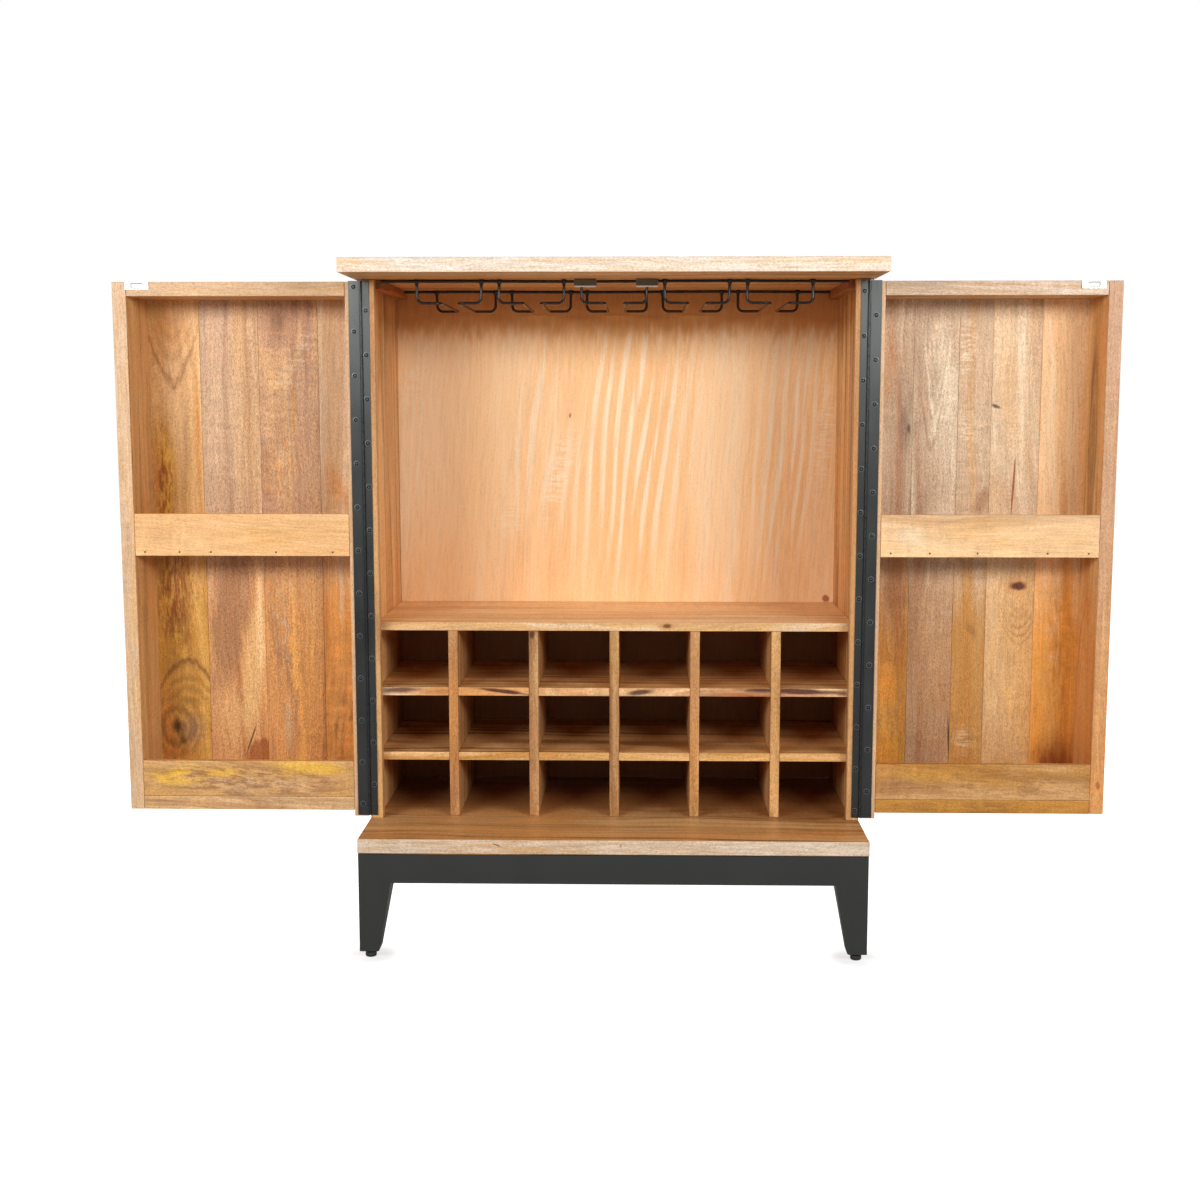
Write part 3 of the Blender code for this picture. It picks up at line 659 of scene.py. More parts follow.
class Piece:
    """A visible piece, gathered from closed skins that each have a finish and a cut."""

    def __init__(self, name):
        self.name = name
        self.points, self.faces, self.grain = [], [], []
        self.slots, self.smooth, self.finishes = [], [], []
        self.count = 0

    def add(self, points, faces, finish, cut=None, edge=0.0, segments=2, smooth=False,
            other=None):
        """Add a closed skin. other is (finish, test) for the faces whose normal passes it."""
        if edge:
            points, faces = eased(points, faces, edge, segments)
        points = np.asarray(points, float)
        faces = [list(face) for face in faces]
        for material in (finish, other and other[0]):
            if material and material not in self.finishes:
                self.finishes.append(material)
        slots = [self.finishes.index(finish)] * len(faces)
        if other:
            for number, face in enumerate(faces):
                a, b, c = points[face[0]], points[face[1]], points[face[2]]
                normal = np.cross(b - a, c - b)
                normal /= np.linalg.norm(normal) or 1.0
                if other[1](normal, points[face].mean(axis=0)):
                    slots[number] = self.finishes.index(other[0])
        self.points.append(points)
        self.grain.append(cut.log(points) if cut else points)
        self.faces += [[i + self.count for i in face] for face in faces]
        self.slots += slots
        self.smooth += [smooth] * len(faces)
        self.count += len(points)

    def board(self, low, high, finish, cut, edge=None, other=None, segments=2):
        """Add a planed board that fills a box."""
        shapes = bpy.context.scene.cabinet_shapes
        points, faces = lattice(box_lines(low, high, shapes.cell))
        points = planed(points, low, high, shapes.surface_wave)
        self.add(points, faces, finish, cut, shapes.board_edge if edge is None else edge,
                 segments, other=other)

    def done(self, body, slot, *nodes):
        """Make the mesh, put the piece on its body and hide the nodes that it stands for."""
        mesh = bpy.data.meshes.new(self.name)
        mesh.from_pydata(np.concatenate(self.points).tolist(), [], self.faces)
        for finish in self.finishes:
            mesh.materials.append(finish)
        mesh.polygons.foreach_set("material_index", self.slots)
        mesh.polygons.foreach_set("use_smooth", self.smooth)
        grain = mesh.attributes.new("grain", "FLOAT_VECTOR", "POINT")
        grain.data.foreach_set("vector", np.concatenate(self.grain).ravel())
        if any(self.smooth):
            mesh.set_sharp_from_angle(angle=math.radians(38))
        mesh.update()
        piece = bpy.data.objects.new(self.name, mesh)
        bpy.context.scene.collection.objects.link(piece)
        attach(piece, body)
        if nodes:
            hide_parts(*nodes)
        return piece


def looks_front(normal, _):
    """True for faces that look to the front."""
    return normal[1] < -0.6


def single_board(name, body, slot, order, face, front=None, looks=looks_front, edge=None,
                 segments=2, **sawn):
    """Make a piece of one board, which stands for the node of the same name.

    The order is the axes along and across the grain. The face is the arguments of wood,
    and so is the front, which is given to the faces that pass the test.
    """
    low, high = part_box(name)
    cut = Cut(name, low, high, *order, **sawn)
    plain = wood(*face, cut=cut)
    other = (wood(*front, cut=cut), looks) if front else None
    piece = Piece(name + "_finished")
    piece.board(low, high, plain, cut, edge, other, segments)
    piece.done(body, slot, name)


def planked(name, body, slot, box, borders, axis, woods):
    """Make a piece of upright planks, glued edge to edge at the borders along an axis."""
    shapes = bpy.context.scene.cabinet_shapes
    seam = shapes.plank_seam / 2
    low, high = np.array(box)
    ends = [low[axis] - seam, *borders, high[axis] + seam]
    piece = Piece(name + "_planks")
    for number, look in enumerate(woods):
        low[axis], high[axis] = ends[number] + seam, ends[number + 1] - seam
        cut = Cut(f"{name}_{number}", low, high, 2, axis)
        piece.board(low, high, wood(*look, cut=cut), cut, shapes.plank_edge)
    piece.done(body, slot, name)


top_edge = Grain("lime", "pale", "honey", rings=90, contrast=0.8, cloud="cream",
                 cloud_share=0.5, curl=0.02, limed=0.75, fleck=1.2, pores=0.25)
top_marks = [
    Mark(-0.02, 1.062, 0.10, 0.003, "grey", 0.5),
    Mark(0.26, 1.057, 0.07, 0.003, "tan", 0.5)]
top_face = Grain("honey", "tan", "brown", rings=46, streak="rust", streak_share=0.3,
                 cloud="orange", cloud_share=0.5, lot=0.10)
base_edge = Grain("pale", "grey", "tan", rings=90, contrast=0.8, cloud="beige",
                  cloud_share=0.5, curl=0.02, limed=0.42, fleck=1.2, pores=0.25)
base_marks_and_painted_shade = [
    Mark(-0.21, 0.187, 0.05, 0.006, "orange", 0.35, 1.0),
    Mark(-0.179, 0.184, 0.020, 0.0030, "umber", 0.85, 0.8, 20),
    Mark(0.0127, 0.1836, 0.004, 0.007, "brown", 0.7),
    # Painted shadow: a dark umber line along the bottom of the front edge, over the apron.
    Mark(0, 0.1680, 4.0, 0.0048, "umber", 0.9, 0.3, form="field"),
    Mark(-0.235, 0.1688, 0.26, 0.0026, "gold", 0.7, 0.6)]
base_face = Grain("honey", "tan", "brown", rings=46, contrast=2.0, streak_share=0.6,
                  cloud="orange", cloud_share=0.6, lot=0.10)
# Painted shade: the upper face turns brown towards the rear, deep in the cells.
base_floor_painted_shade = [Mark(0, 0.10, 4.0, 0.34, "brown", 0.85, 0.5, form="floor")]


class CABINET_OT_top_and_base(bpy.types.Operator):
    """Make the top board and the base board, with limed front edges"""

    bl_idname = "cabinet.top_and_base"
    bl_label = "Top and base boards"

    def execute(self, context):
        rounding = context.scene.cabinet_shapes.top_edge
        for name, face, front in (("top_board", (top_face,), (top_edge, top_marks)),
                                  ("base_board", (base_face, base_floor_painted_shade),
                                   (base_edge, base_marks_and_painted_shade))):
            single_board(name, "carcass", "board_pale", (0, 1), (name + "_wood", *face),
                         (name + "_edge", *front), edge=rounding, segments=3,
                         pith=(0.05, -0.06), slope=(0.02, 0.0))
        return {"FINISHED"}


class CABINET_OT_base_frame(bpy.types.Operator):
    """Make the welded base frame with its four tapered legs"""

    bl_idname = "cabinet.base_frame"
    bl_label = "Base frame"

    def execute(self, context):
        shapes = context.scene.cabinet_shapes
        low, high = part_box("leg_front_left")
        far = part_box("leg_rear_right")[1]
        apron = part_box("apron_front")
        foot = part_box("levelling_foot_front_left")
        toe = foot[0].x + foot[1].x - 2 * low.x
        size, wall, flange = high.x - low.x, 0.004, apron[1].y - apron[0].y
        depths = np.array([0, wall, flange, size])
        x = np.concatenate([low.x + depths, -(low.x + depths)[::-1]])
        y = np.concatenate([low.y + depths, far.y - depths[::-1]])
        toes = [low.z + shapes.toe_round * (1 - math.cos(math.radians(a))) for a in (0, 30, 60, 90)]
        z = np.array([*toes, *steps(apron[0].z, high.z - wall, 1), high.z])
        column, row, tier = np.ogrid[:7, :7, :len(z) - 1]
        filled = (column != 3) & (row != 3) & (tier >= 0)
        for rim, floor in (((0, 6), apron[0].z), ((0, 1, 5, 6), high.z - wall)):
            filled |= (np.isin(column, rim) | np.isin(row, rim)) & (z[:-1] > floor - wall / 2)
        points, faces = lattice([x, y, z], filled)
        self.taper(points, (low, far), size, toe, apron[0].z, shapes.toe_round)
        paint = painted("base_paint", context.scene.cabinet_metals.base_paint, 0.42,
                        mottle=0.05, specular=0.3)
        piece = Piece("base_frame")
        piece.add(points, faces, paint, edge=shapes.steel_edge, segments=3)
        piece.done("carcass", "base_frame_metal", "leg_front_left", "leg_front_right",
                   "leg_rear_left", "leg_rear_right", "apron_front", "apron_rear",
                   "apron_left", "apron_right")
        return {"FINISHED"}

    def taper(self, points, corners, size, toe, bend, rounding):
        """Draw the legs' inner faces in below the apron, and round their inner toes.

        A point's depth from its leg's outer face shrinks by the share that the leg has
        narrowed at that height. The last stretch also follows a quarter circle.
        """
        low, far = corners
        below = points[:, 2] < bend - 1e-6
        fall = np.clip((bend - points[:, 2]) / (bend - low.z), 0, 1)
        width = size - (size - toe) * fall
        above = np.clip((points[:, 2] - low.z) / rounding, 0, 1)
        inset = rounding * (1 - np.sqrt(1 - (1 - above) ** 2))
        for axis in (0, 1):
            near, distant = low[axis], far[axis]
            sign = np.where(points[:, axis] < (near + distant) / 2, 1, -1)
            outer = np.where(sign > 0, near, distant)
            depth = np.abs(points[:, axis] - outer)
            tapered = depth * width / size
            tapered -= np.where(np.isclose(depth, size) & (above < 1), inset, 0)
            points[:, axis] = np.where(below, outer + sign * tapered, points[:, axis])


class CABINET_OT_feet(bpy.types.Operator):
    """Make the four levelling feet"""

    bl_idname = "cabinet.feet"
    bl_label = "Levelling feet"

    def execute(self, context):
        rubber = painted("foot_rubber", context.scene.cabinet_metals.rubber, 0.55)
        stem = 0.004
        for row in ("front", "rear"):
            for side, _ in sides:
                name = f"levelling_foot_{row}_{side}"
                low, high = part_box(name)
                radius = (high.x - low.x) / 2
                centre = ((low.x + high.x) / 2, (low.y + high.y) / 2, 0)
                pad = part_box(f"leg_{row}_{side}")[0].z - joint_gap
                profile = [(0.0008, 0.0004), (radius - 0.0045, 0.0004), (radius - 0.0040, 0),
                           (radius - 0.0028, 0)]
                profile += arc((radius - 0.0028, 0.0028), 0.0028, -60, 0, 5)
                profile += arc((radius - 0.0022, 0.0060), 0.0022, 0, 70, 5)
                profile += [(radius - 0.0020, 0.0084), (radius - 0.0020, pad), (stem, pad),
                            (stem, high.z), (0.0005, high.z)]
                piece = Piece(name + "_turned")
                piece.add(*turned(profile, centre, (0, 0, 1), 32), rubber, smooth=True)
                piece.done("carcass", "foot_plastic", name)
        return {"FINISHED"}


side_wood = Grain("honey", "tan", "brown", rings=80, contrast=1.5, streak_share=0.45,
                  cloud="orange", cloud_share=0.6, drift=0.009, lot=0.04)
post_wood = Grain("honey", "tan", "taupe", rings=80, streak="taupe", streak_share=0.6,
                  cloud="orange", cloud_share=0.4, lot=0.04)
cleat_wood = Grain("orange", "rust", "brown", cloud="brown", cloud_share=0.4, lot=0.10)
veneer = Grain("cream", "peach", "amber", rings=20, contrast=0.7, streak="amber",
               streak_share=0.4, curl=0.0, fibre=0.45, fleck=0.4, pores=0.0, drift=0.010)
veneer_marks_and_painted_light = [
    # Painted highlight: a pale cream patch over the upper middle.
    Mark(-0.03, 0.84, 0.76, 0.46, "cream", 0.12, 1.0),
    # Painted light: peach and cream lighten the left part, where the lamps leave it darker.
    Mark(-0.29, 0.78, 0.34, 0.76, "peach", 0.75, 0.9),
    Mark(-0.33, 0.78, 0.20, 0.60, "cream", 0.35, 1.0),
    Mark(0.33, 0.76, 0.20, 0.66, "orange", 0.30, 1.0),
    Mark(0.395, 0.80, 0.14, 0.70, "honey", 0.7, 1.0),
    Mark(-0.395, 0.74, 0.05, 0.40, "gold", 0.35, 1.0),
    Mark(0.025, 0.79, 0.26, 0.66, "amber", 0.45, 0.8),
    Mark(0.025, 0.79, 0.32, 0.68, "cream", 0.85, 0.7, 2, form="ribbon"),
    Mark(0.30, 0.78, 0.20, 0.64, "cream", 0.75, 0.8, 1, form="ribbon", pitch=0.017),
    Mark(-0.36, 0.78, 0.08, 0.60, "cream", 0.6, 0.9, form="ribbon", pitch=0.014),
    Mark(-0.14, 0.80, 0.18, 0.60, "cream", 0.6, 0.9, form="ribbon", pitch=0.028),
    Mark(-0.105, 0.73, 0.07, 0.26, "cream", 0.7, 1.0, 12, form="ripple"),
    Mark(-0.357, 0.89, 0.06, 0.18, "cream", 0.6, 1.0, form="ripple"),
    Mark(-0.19, 0.657, 0.10, 0.09, "cream", 0.6, 1.0, 20, form="ripple"),
    Mark(0.36, 0.80, 0.06, 0.30, "cream", 0.5, 1.0, form="ripple"),
    # Painted shade: an orange band along the top, under the top board.
    Mark(0, 1.032, 4.0, 0.150, "orange", 0.9, 0.6),
    # Painted shade: brown over the lower part, behind the bottle grid, deep in the cells.
    Mark(0, 0.300, 4.0, 0.414, "brown", 0.85, 0.04, form="field"),
    Mark(-0.082, 0.8376, 0.006, 0.012, "brown", 0.8),
    Mark(0.3696, 0.5165, 0.018, 0.014, "rust", 0.85, 0.6, 30, 0.01)]


class CABINET_OT_carcass(bpy.types.Operator):
    """Make the sides, posts, cleats and the back of the carcass"""

    bl_idname = "cabinet.carcass"
    bl_label = "Carcass"

    def execute(self, context):
        back_low, back_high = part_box("back_panel")
        for side, _ in sides:
            single_board("front_post_" + side, "carcass", "board_pale", (2, 0),
                         ("post_wood", post_wood))
            name = "side_panel_" + side
            low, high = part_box(name)
            borders = [low.y + share * (high.y - low.y) for share in (0.36, 0.71)]
            box = low, (high.x, back_low.y - joint_gap, high.z)
            planked(name, "carcass", "carcass_wood", box, borders, 1,
                    [("side_wood", side_wood)] * 3)
            single_board("top_cleat_" + side, "carcass", "carcass_wood", (1, 0),
                         ("cleat_wood", cleat_wood))
        cut = Cut("back_panel", back_low, back_high, 2, 0, pith=(0.02, 0.16),
                  slope=(-0.07, 0.01))
        front = wood("back_veneer", veneer, veneer_marks_and_painted_light, cut)
        piece = Piece("back_panel_veneered")
        piece.board(back_low, back_high, wood("rear_veneer", veneer), cut,
                    context.scene.cabinet_shapes.plank_edge, (front, looks_front))
        piece.done("carcass", "back_wood", "back_panel")
        return {"FINISHED"}


top_shelf_wood = Grain("cream", "peach", "honey", rings=40, contrast=1.3, streak="orange",
                       streak_share=0.5, cloud="amber", cloud_share=0.5)
top_shelf_edge = Grain("cream", "honey", "tan", rings=80, cloud="pinkish", cloud_share=0.4)
shelf_wood = Grain("amber", "honey", "brown", contrast=1.5, streak_share=0.55,
                   cloud="orange", cloud_share=0.5, lot=0.03)
divider_wood = Grain("honey", "tan", "brown", rings=80, contrast=1.2, streak="rust",
                     streak_share=0.45, cloud="ochre", cloud_share=0.35, lot=0.10, fleck=1.8,
                     limed=0.04)
shelf_edges = {
    "grid_shelf_1": Grain("peach", "honey", "ochre", rings=70, contrast=1.1, streak="rust",
                          streak_share=0.3, cloud="gold", cloud_share=0.4, fleck=1.4),
    "grid_shelf_2": Grain("cream", "peach", "rust", streak="rust", streak_share=0.3,
                          cloud="orange", cloud_share=0.4),
}
grid_marks = {
    "grid_top_shelf": [Mark(0.0851, 0.505, 0.016, 0.009, "umber", 0.8, 0.6, knot=0.004),
                       Mark(0.0851, 0.505, 0.05, 0.02, "rust", 0.35, 1.0)],
    "grid_shelf_1": [Mark(-0.10, 0.291, 0.06, 0.012, "orange", 0.5, 0.9)],
    "grid_shelf_2": [Mark(-0.24, 0.398, 0.34, 0.040, "orange", 0.85, 0.8),
                     Mark(-0.275, 0.396, 0.09, 0.016, "rust", 0.45, 0.9),
                     Mark(-0.345, 0.400, 0.100, 0.014, "plum", 0.85, 0.8, -3),
                     Mark(-0.178, 0.398, 0.120, 0.009, "plum", 0.95, 0.6, 7),
                     Mark(0.0415, 0.397, 0.070, 0.014, "plum", 0.9, 0.7, -8),
                     Mark(0.290, 0.400, 0.24, 0.013, "plum", 0.95, 0.6, 2)],
    "grid_divider_1": [Mark(-0.2597, 0.36, 0.06, 0.36, "orange", 0.6, 1.0),
                       Mark(-0.2597, 0.45, 0.03, 0.08, "rust", 0.35, 1.0)],
    "grid_divider_2": [Mark(-0.1321, 0.4919, 0.012, 0.020, "umber", 0.85, 0.6, knot=0.004)],
    "grid_divider_4": [Mark(0.1298, 0.30, 0.05, 0.20, "orange", 0.4, 1.0)],
}


class CABINET_OT_bottle_grid(bpy.types.Operator):
    """Make the shelves and dividers of the bottle grid, halved over each other"""

    bl_idname = "cabinet.bottle_grid"
    bl_label = "Bottle grid"

    def execute(self, context):
        single_board("grid_top_shelf", "carcass", "grid_wood", (0, 1),
                     ("top_shelf_wood", top_shelf_wood),
                     ("top_shelf_edge", top_shelf_edge, grid_marks["grid_top_shelf"]))
        shelves = list(shelf_edges)
        dividers = [f"grid_divider_{number}" for number in range(1, 6)]
        for name in shelves:
            self.halved(name, 0, dividers, ("shelf_wood", shelf_wood), shelf_edges[name])
        for name in dividers:
            self.halved(name, 2, shelves, ("divider_wood", divider_wood), divider_wood)
        return {"FINISHED"}

    def halved(self, name, axis, others, face, front):
        """Make a board with a notch for each board that it crosses along an axis.

        A shelf has its notches in front of the top shelf's middle, a divider behind it.
        """
        shapes = bpy.context.scene.cabinet_shapes
        low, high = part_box(name)
        cut = Cut(name, low, high, axis, 1)
        plain = wood(*face)
        front = wood(name.removeprefix("grid_") + "_edge", front, grid_marks.get(name, ()), cut)
        lap = sum(corner.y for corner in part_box("grid_top_shelf")) / 2
        notches = [(box[0][axis] - joint_gap, box[1][axis] + joint_gap)
                   for box in map(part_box, others)]
        lines = box_lines(low, high, shapes.cell)
        lines[axis] = self.with_lines(lines[axis], [end for notch in notches for end in notch])
        lines[1] = self.with_lines(lines[1], [lap])
        middles = [(line[:-1] + line[1:]) / 2 for line in lines]
        place = np.meshgrid(*middles, indexing="ij")
        hole = place[1] < lap if axis == 0 else place[1] > lap
        hole &= sum((place[axis] > start) & (place[axis] < end) for start, end in notches) > 0
        points, faces = lattice(lines, ~hole)
        points = planed(points, low, high, shapes.surface_wave)
        piece = Piece(name + "_halved")
        piece.add(points, faces, plain, cut, shapes.board_edge * 0.7, other=(front, looks_front))
        piece.done("carcass", "grid_wood", name)

    def with_lines(self, line, extra):
        """A line of cell borders with more borders, without any that nearly touch them."""
        near = 0.004
        kept = [value for value in line if min(abs(value - other) for other in extra) > near]
        return np.array(sorted(kept + list(extra)))


class CABINET_OT_rack(bpy.types.Operator):
    """Make the stemware rack: two bars and ten bent wires, welded"""

    bl_idname = "cabinet.rack"
    bl_label = "Stemware rack"

    def execute(self, context):
        weld_size = context.scene.cabinet_shapes.weld_size
        black = painted("rack_black", context.scene.cabinet_metals.rack_steel, 0.24, 0.5,
                        mottle=0.08)
        low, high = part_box("stemware_rack")
        bar_radius, wire_radius, bend_radius = 0.00235, 0.0022, 0.0095
        opening, gap, pitch = 0.101, 0.029, 0.1288
        bar_z, drop_z = high.z - bar_radius, low.z + wire_radius
        front, rear = low.y + bar_radius, high.y - bar_radius
        piece = Piece("stemware_rack_welded")
        count, dip = 41, 0.0004
        x = np.linspace(low.x + dip / 2, high.x - dip / 2, count)
        sag = dip * (np.sin(np.linspace(0, 11, count)) - 1)
        for y in (front, rear):
            path = np.stack([x, np.full(count, y), bar_z + sag], -1)
            piece.add(*tube(path, bar_radius, 14), black, smooth=True)
        draw = np.random.default_rng(7)
        for slot in range(-2, 3):
            for side in (-1, 1):
                lean = draw.uniform(-0.0012, 0.0012, 3)
                outer = slot * pitch + side * opening / 2
                tip = slot * pitch + side * gap / 2
                corners = np.array([
                    (outer, front, bar_z), (outer + lean[0], front, drop_z),
                    (tip + lean[1], front, drop_z), (tip + lean[2], rear, drop_z + 0.0006),
                    (outer + lean[1], rear, drop_z + 0.0006), (outer, rear, bar_z)])
                path = self.bent(corners, bend_radius, 8)
                piece.add(*tube(path, wire_radius, 12), black, smooth=True)
                for y in (front, rear):
                    piece.add(*self.weld(outer, y, bar_z, weld_size), black, smooth=True)
        piece.done("carcass", "rack_wire", "stemware_rack")
        return {"FINISHED"}

    def bent(self, corners, radius, count):
        """The line through the corners, each inner corner turned into a quarter circle."""
        path = [corners[:1]]
        for before, corner, after in zip(corners, corners[1:], corners[2:]):
            inward = (before - corner) / np.linalg.norm(before - corner)
            onward = (after - corner) / np.linalg.norm(after - corner)
            turn = np.linspace(0, math.pi / 2, count)[:, None]
            centre = corner + (inward + onward) * radius
            path.append(centre - onward * radius * np.cos(turn) - inward * radius * np.sin(turn))
        return np.concatenate(path + [corners[-1:]])

    def weld(self, x, y, z, size):
        """A flared bead under the bar: its radius swells as the wire meets the bar."""
        down = np.linspace(-size, size * 0.35, 8)
        radii = 0.0023 + 0.0026 * np.exp(-(down / size * 1.9) ** 2)
        path = np.stack([np.full(8, x), np.full(8, y), z + down], -1)
        return tube(path, radii, 12)


frame_wood = Grain("honey", "pinkish", "tan", rings=90, contrast=0.8, streak="tan",
                   streak_share=0.4, cloud_share=0.35, lot=0.03, limed=0.12)
inner_wood = Grain("honey", "tan", "brown", cloud="orange", cloud_share=0.45, lot=0.03)
bright_inner_wood = Grain("amber", "honey", "brown", cloud="orange", cloud_share=0.75,
                          foot="orange", foot_share=0.6, foot_start=0.0, foot_end=-0.2)
door_woods = {
    "door_left_bottom": (
        Grain("peach", "honey", "brown", rings=70, contrast=0.9, cloud="pinkish",
              cloud_share=0.5, fleck=1.3),
        [Mark(-0.60, 0.216, 0.40, 0.026, "taupe", 0.6, 0.6, form="flame", pitch=0.014),
         Mark(-0.62, 0.214, 0.30, 0.010, "orange", 0.5, 0.9, form="flame", pitch=0.03)]),
    "door_right_bottom": (
        Grain("gold", "ochre", "brown", rings=70, contrast=1.1, cloud="orange",
              cloud_share=0.4, fleck=1.3),
        [Mark(0.58, 0.216, 0.38, 0.026, "brown", 0.5, 0.6, form="flame", pitch=0.014)]),
    "door_right_free_stile": (
        Grain("honey", "mauve", "tan", rings=90, contrast=0.8, streak="tan",
              streak_share=0.5, cloud_share=0.7, fleck=1.3, foot="orange", foot_share=0.75,
              foot_start=0.10, foot_end=-0.45),
        [Mark(0.775, 0.252, 0.011, 0.018, "rust", 0.7)]),
    "door_right_top": (
        Grain("grey", "beige", "tan", rings=90, streak="tan", streak_share=0.2,
              cloud_share=0.45, fleck=1.3, limed=0.34),),
    "door_left_middle_guard_rail": (
        Grain("peach", "amber", "honey", rings=42, contrast=0.9, cloud="tan",
              cloud_share=0.4, fleck=1.0, pores=0.1),
        [Mark(-0.72, 0.65, 0.06, 0.05, "taupe", 0.25, 1.0),
         Mark(-0.60, 0.650, 0.36, 0.050, "gold", 0.35, 0.8, form="flame", pitch=0.030),
         Mark(-0.47, 0.66, 0.10, 0.03, "tan", 0.5, 0.9, form="flame")]),
    "door_right_middle_guard_rail": (
        Grain("cream", "peach", "tan", rings=42, contrast=0.8, cloud="pinkish",
              cloud_share=0.6, fleck=0.8, pores=0.1),
        [Mark(0.47, 0.65, 0.08, 0.05, "cream", 0.5, 1.0),
         Mark(0.60, 0.650, 0.36, 0.050, "gold", 0.35, 0.8, form="flame", pitch=0.030)]),
    "door_left_bottom_guard_rail": (
        Grain("honey", "tan", "taupe", contrast=1.1, cloud="gold", cloud_share=0.4,
              fleck=1.4, drift=0.03),
        [Mark(-0.60, 0.252, 0.40, 0.062, "taupe", 0.75, 0.4, form="flame", pitch=0.012),
         Mark(-0.57, 0.244, 0.30, 0.036, "pinkish", 0.6, 0.6, form="flame", pitch=0.014),
         Mark(-0.702, 0.264, 0.120, 0.050, "lemon", 0.95, 0.5, -6, form="flame", pitch=0.040),
         Mark(-0.705, 0.266, 0.060, 0.022, "lemon", 0.8, 0.8, -10),
         Mark(-0.635, 0.267, 0.100, 0.024, "lemon", 0.7, 0.9, -4),
         Mark(-0.490, 0.276, 0.180, 0.030, "lemon", 0.8, 0.8, 3),
         Mark(-0.52, 0.268, 0.10, 0.026, "lemon", 0.6, form="flame", pitch=0.030),
         Mark(-0.60, 0.256, 0.36, 0.050, "brown", 0.5, 0.6, form="flame", pitch=0.006)]),
    "door_right_bottom_guard_rail": (
        Grain("honey", "tan", "brown", rings=50, curl=0.1, cloud="ochre",
              cloud_share=0.85, fleck=1.3),
        [Mark(0.60, 0.255, 0.40, 0.056, "brown", 0.5, 0.5, form="flame", pitch=0.012),
         Mark(0.50, 0.265, 0.14, 0.036, "gold", 0.6, 0.8)]),
}


class CABINET_OT_door_boxes(bpy.types.Operator):
    """Make the door boxes: stiles, tops, bottoms, shelves and guard rails"""

    bl_idname = "cabinet.door_boxes"
    bl_label = "Door boxes"

    def execute(self, context):
        for side, _ in sides:
            body, prefix = side + "_door", f"door_{side}_"
            for part in ("hinge_stile", "free_stile", "top", "bottom"):
                self.frame_board(prefix + part, body, (2, 0) if "stile" in part else (0, 2),
                                 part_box(prefix + "shelf"))
            single_board(prefix + "shelf", body, "door_panel_wood", (0, 1),
                         ("door_shelf_wood", inner_wood))
            for part in ("middle", "bottom"):
                name = prefix + part + "_guard_rail"
                single_board(name, body, "guard_rail_wood", (0, 2), (name, *door_woods[name]),
                             pith=(0.012, 0.05), slope=(0.05, 0.02))
        return {"FINISHED"}

    def frame_board(self, name, body, order, shelf):
        """One board of the door's box, browner on the faces that look at the shelf."""
        low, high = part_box(name)
        axis = order[1]
        inward = 1 if shelf[0][axis] + shelf[1][axis] > low[axis] + high[axis] else -1
        bare_edge = 0.004

        def looks_inside(normal, point):
            return normal[axis] * inward > 0.6 and point[1] > low.y + bare_edge

        face = (name, *door_woods[name]) if name in door_woods else ("stile_wood", frame_wood)
        inner = ("door_inner_wood", inner_wood)
        if name == "door_right_free_stile":
            inner = ("door_bright_inner_wood", bright_inner_wood)
        single_board(name, body, "door_frame_wood", order, face, inner, looks_inside)


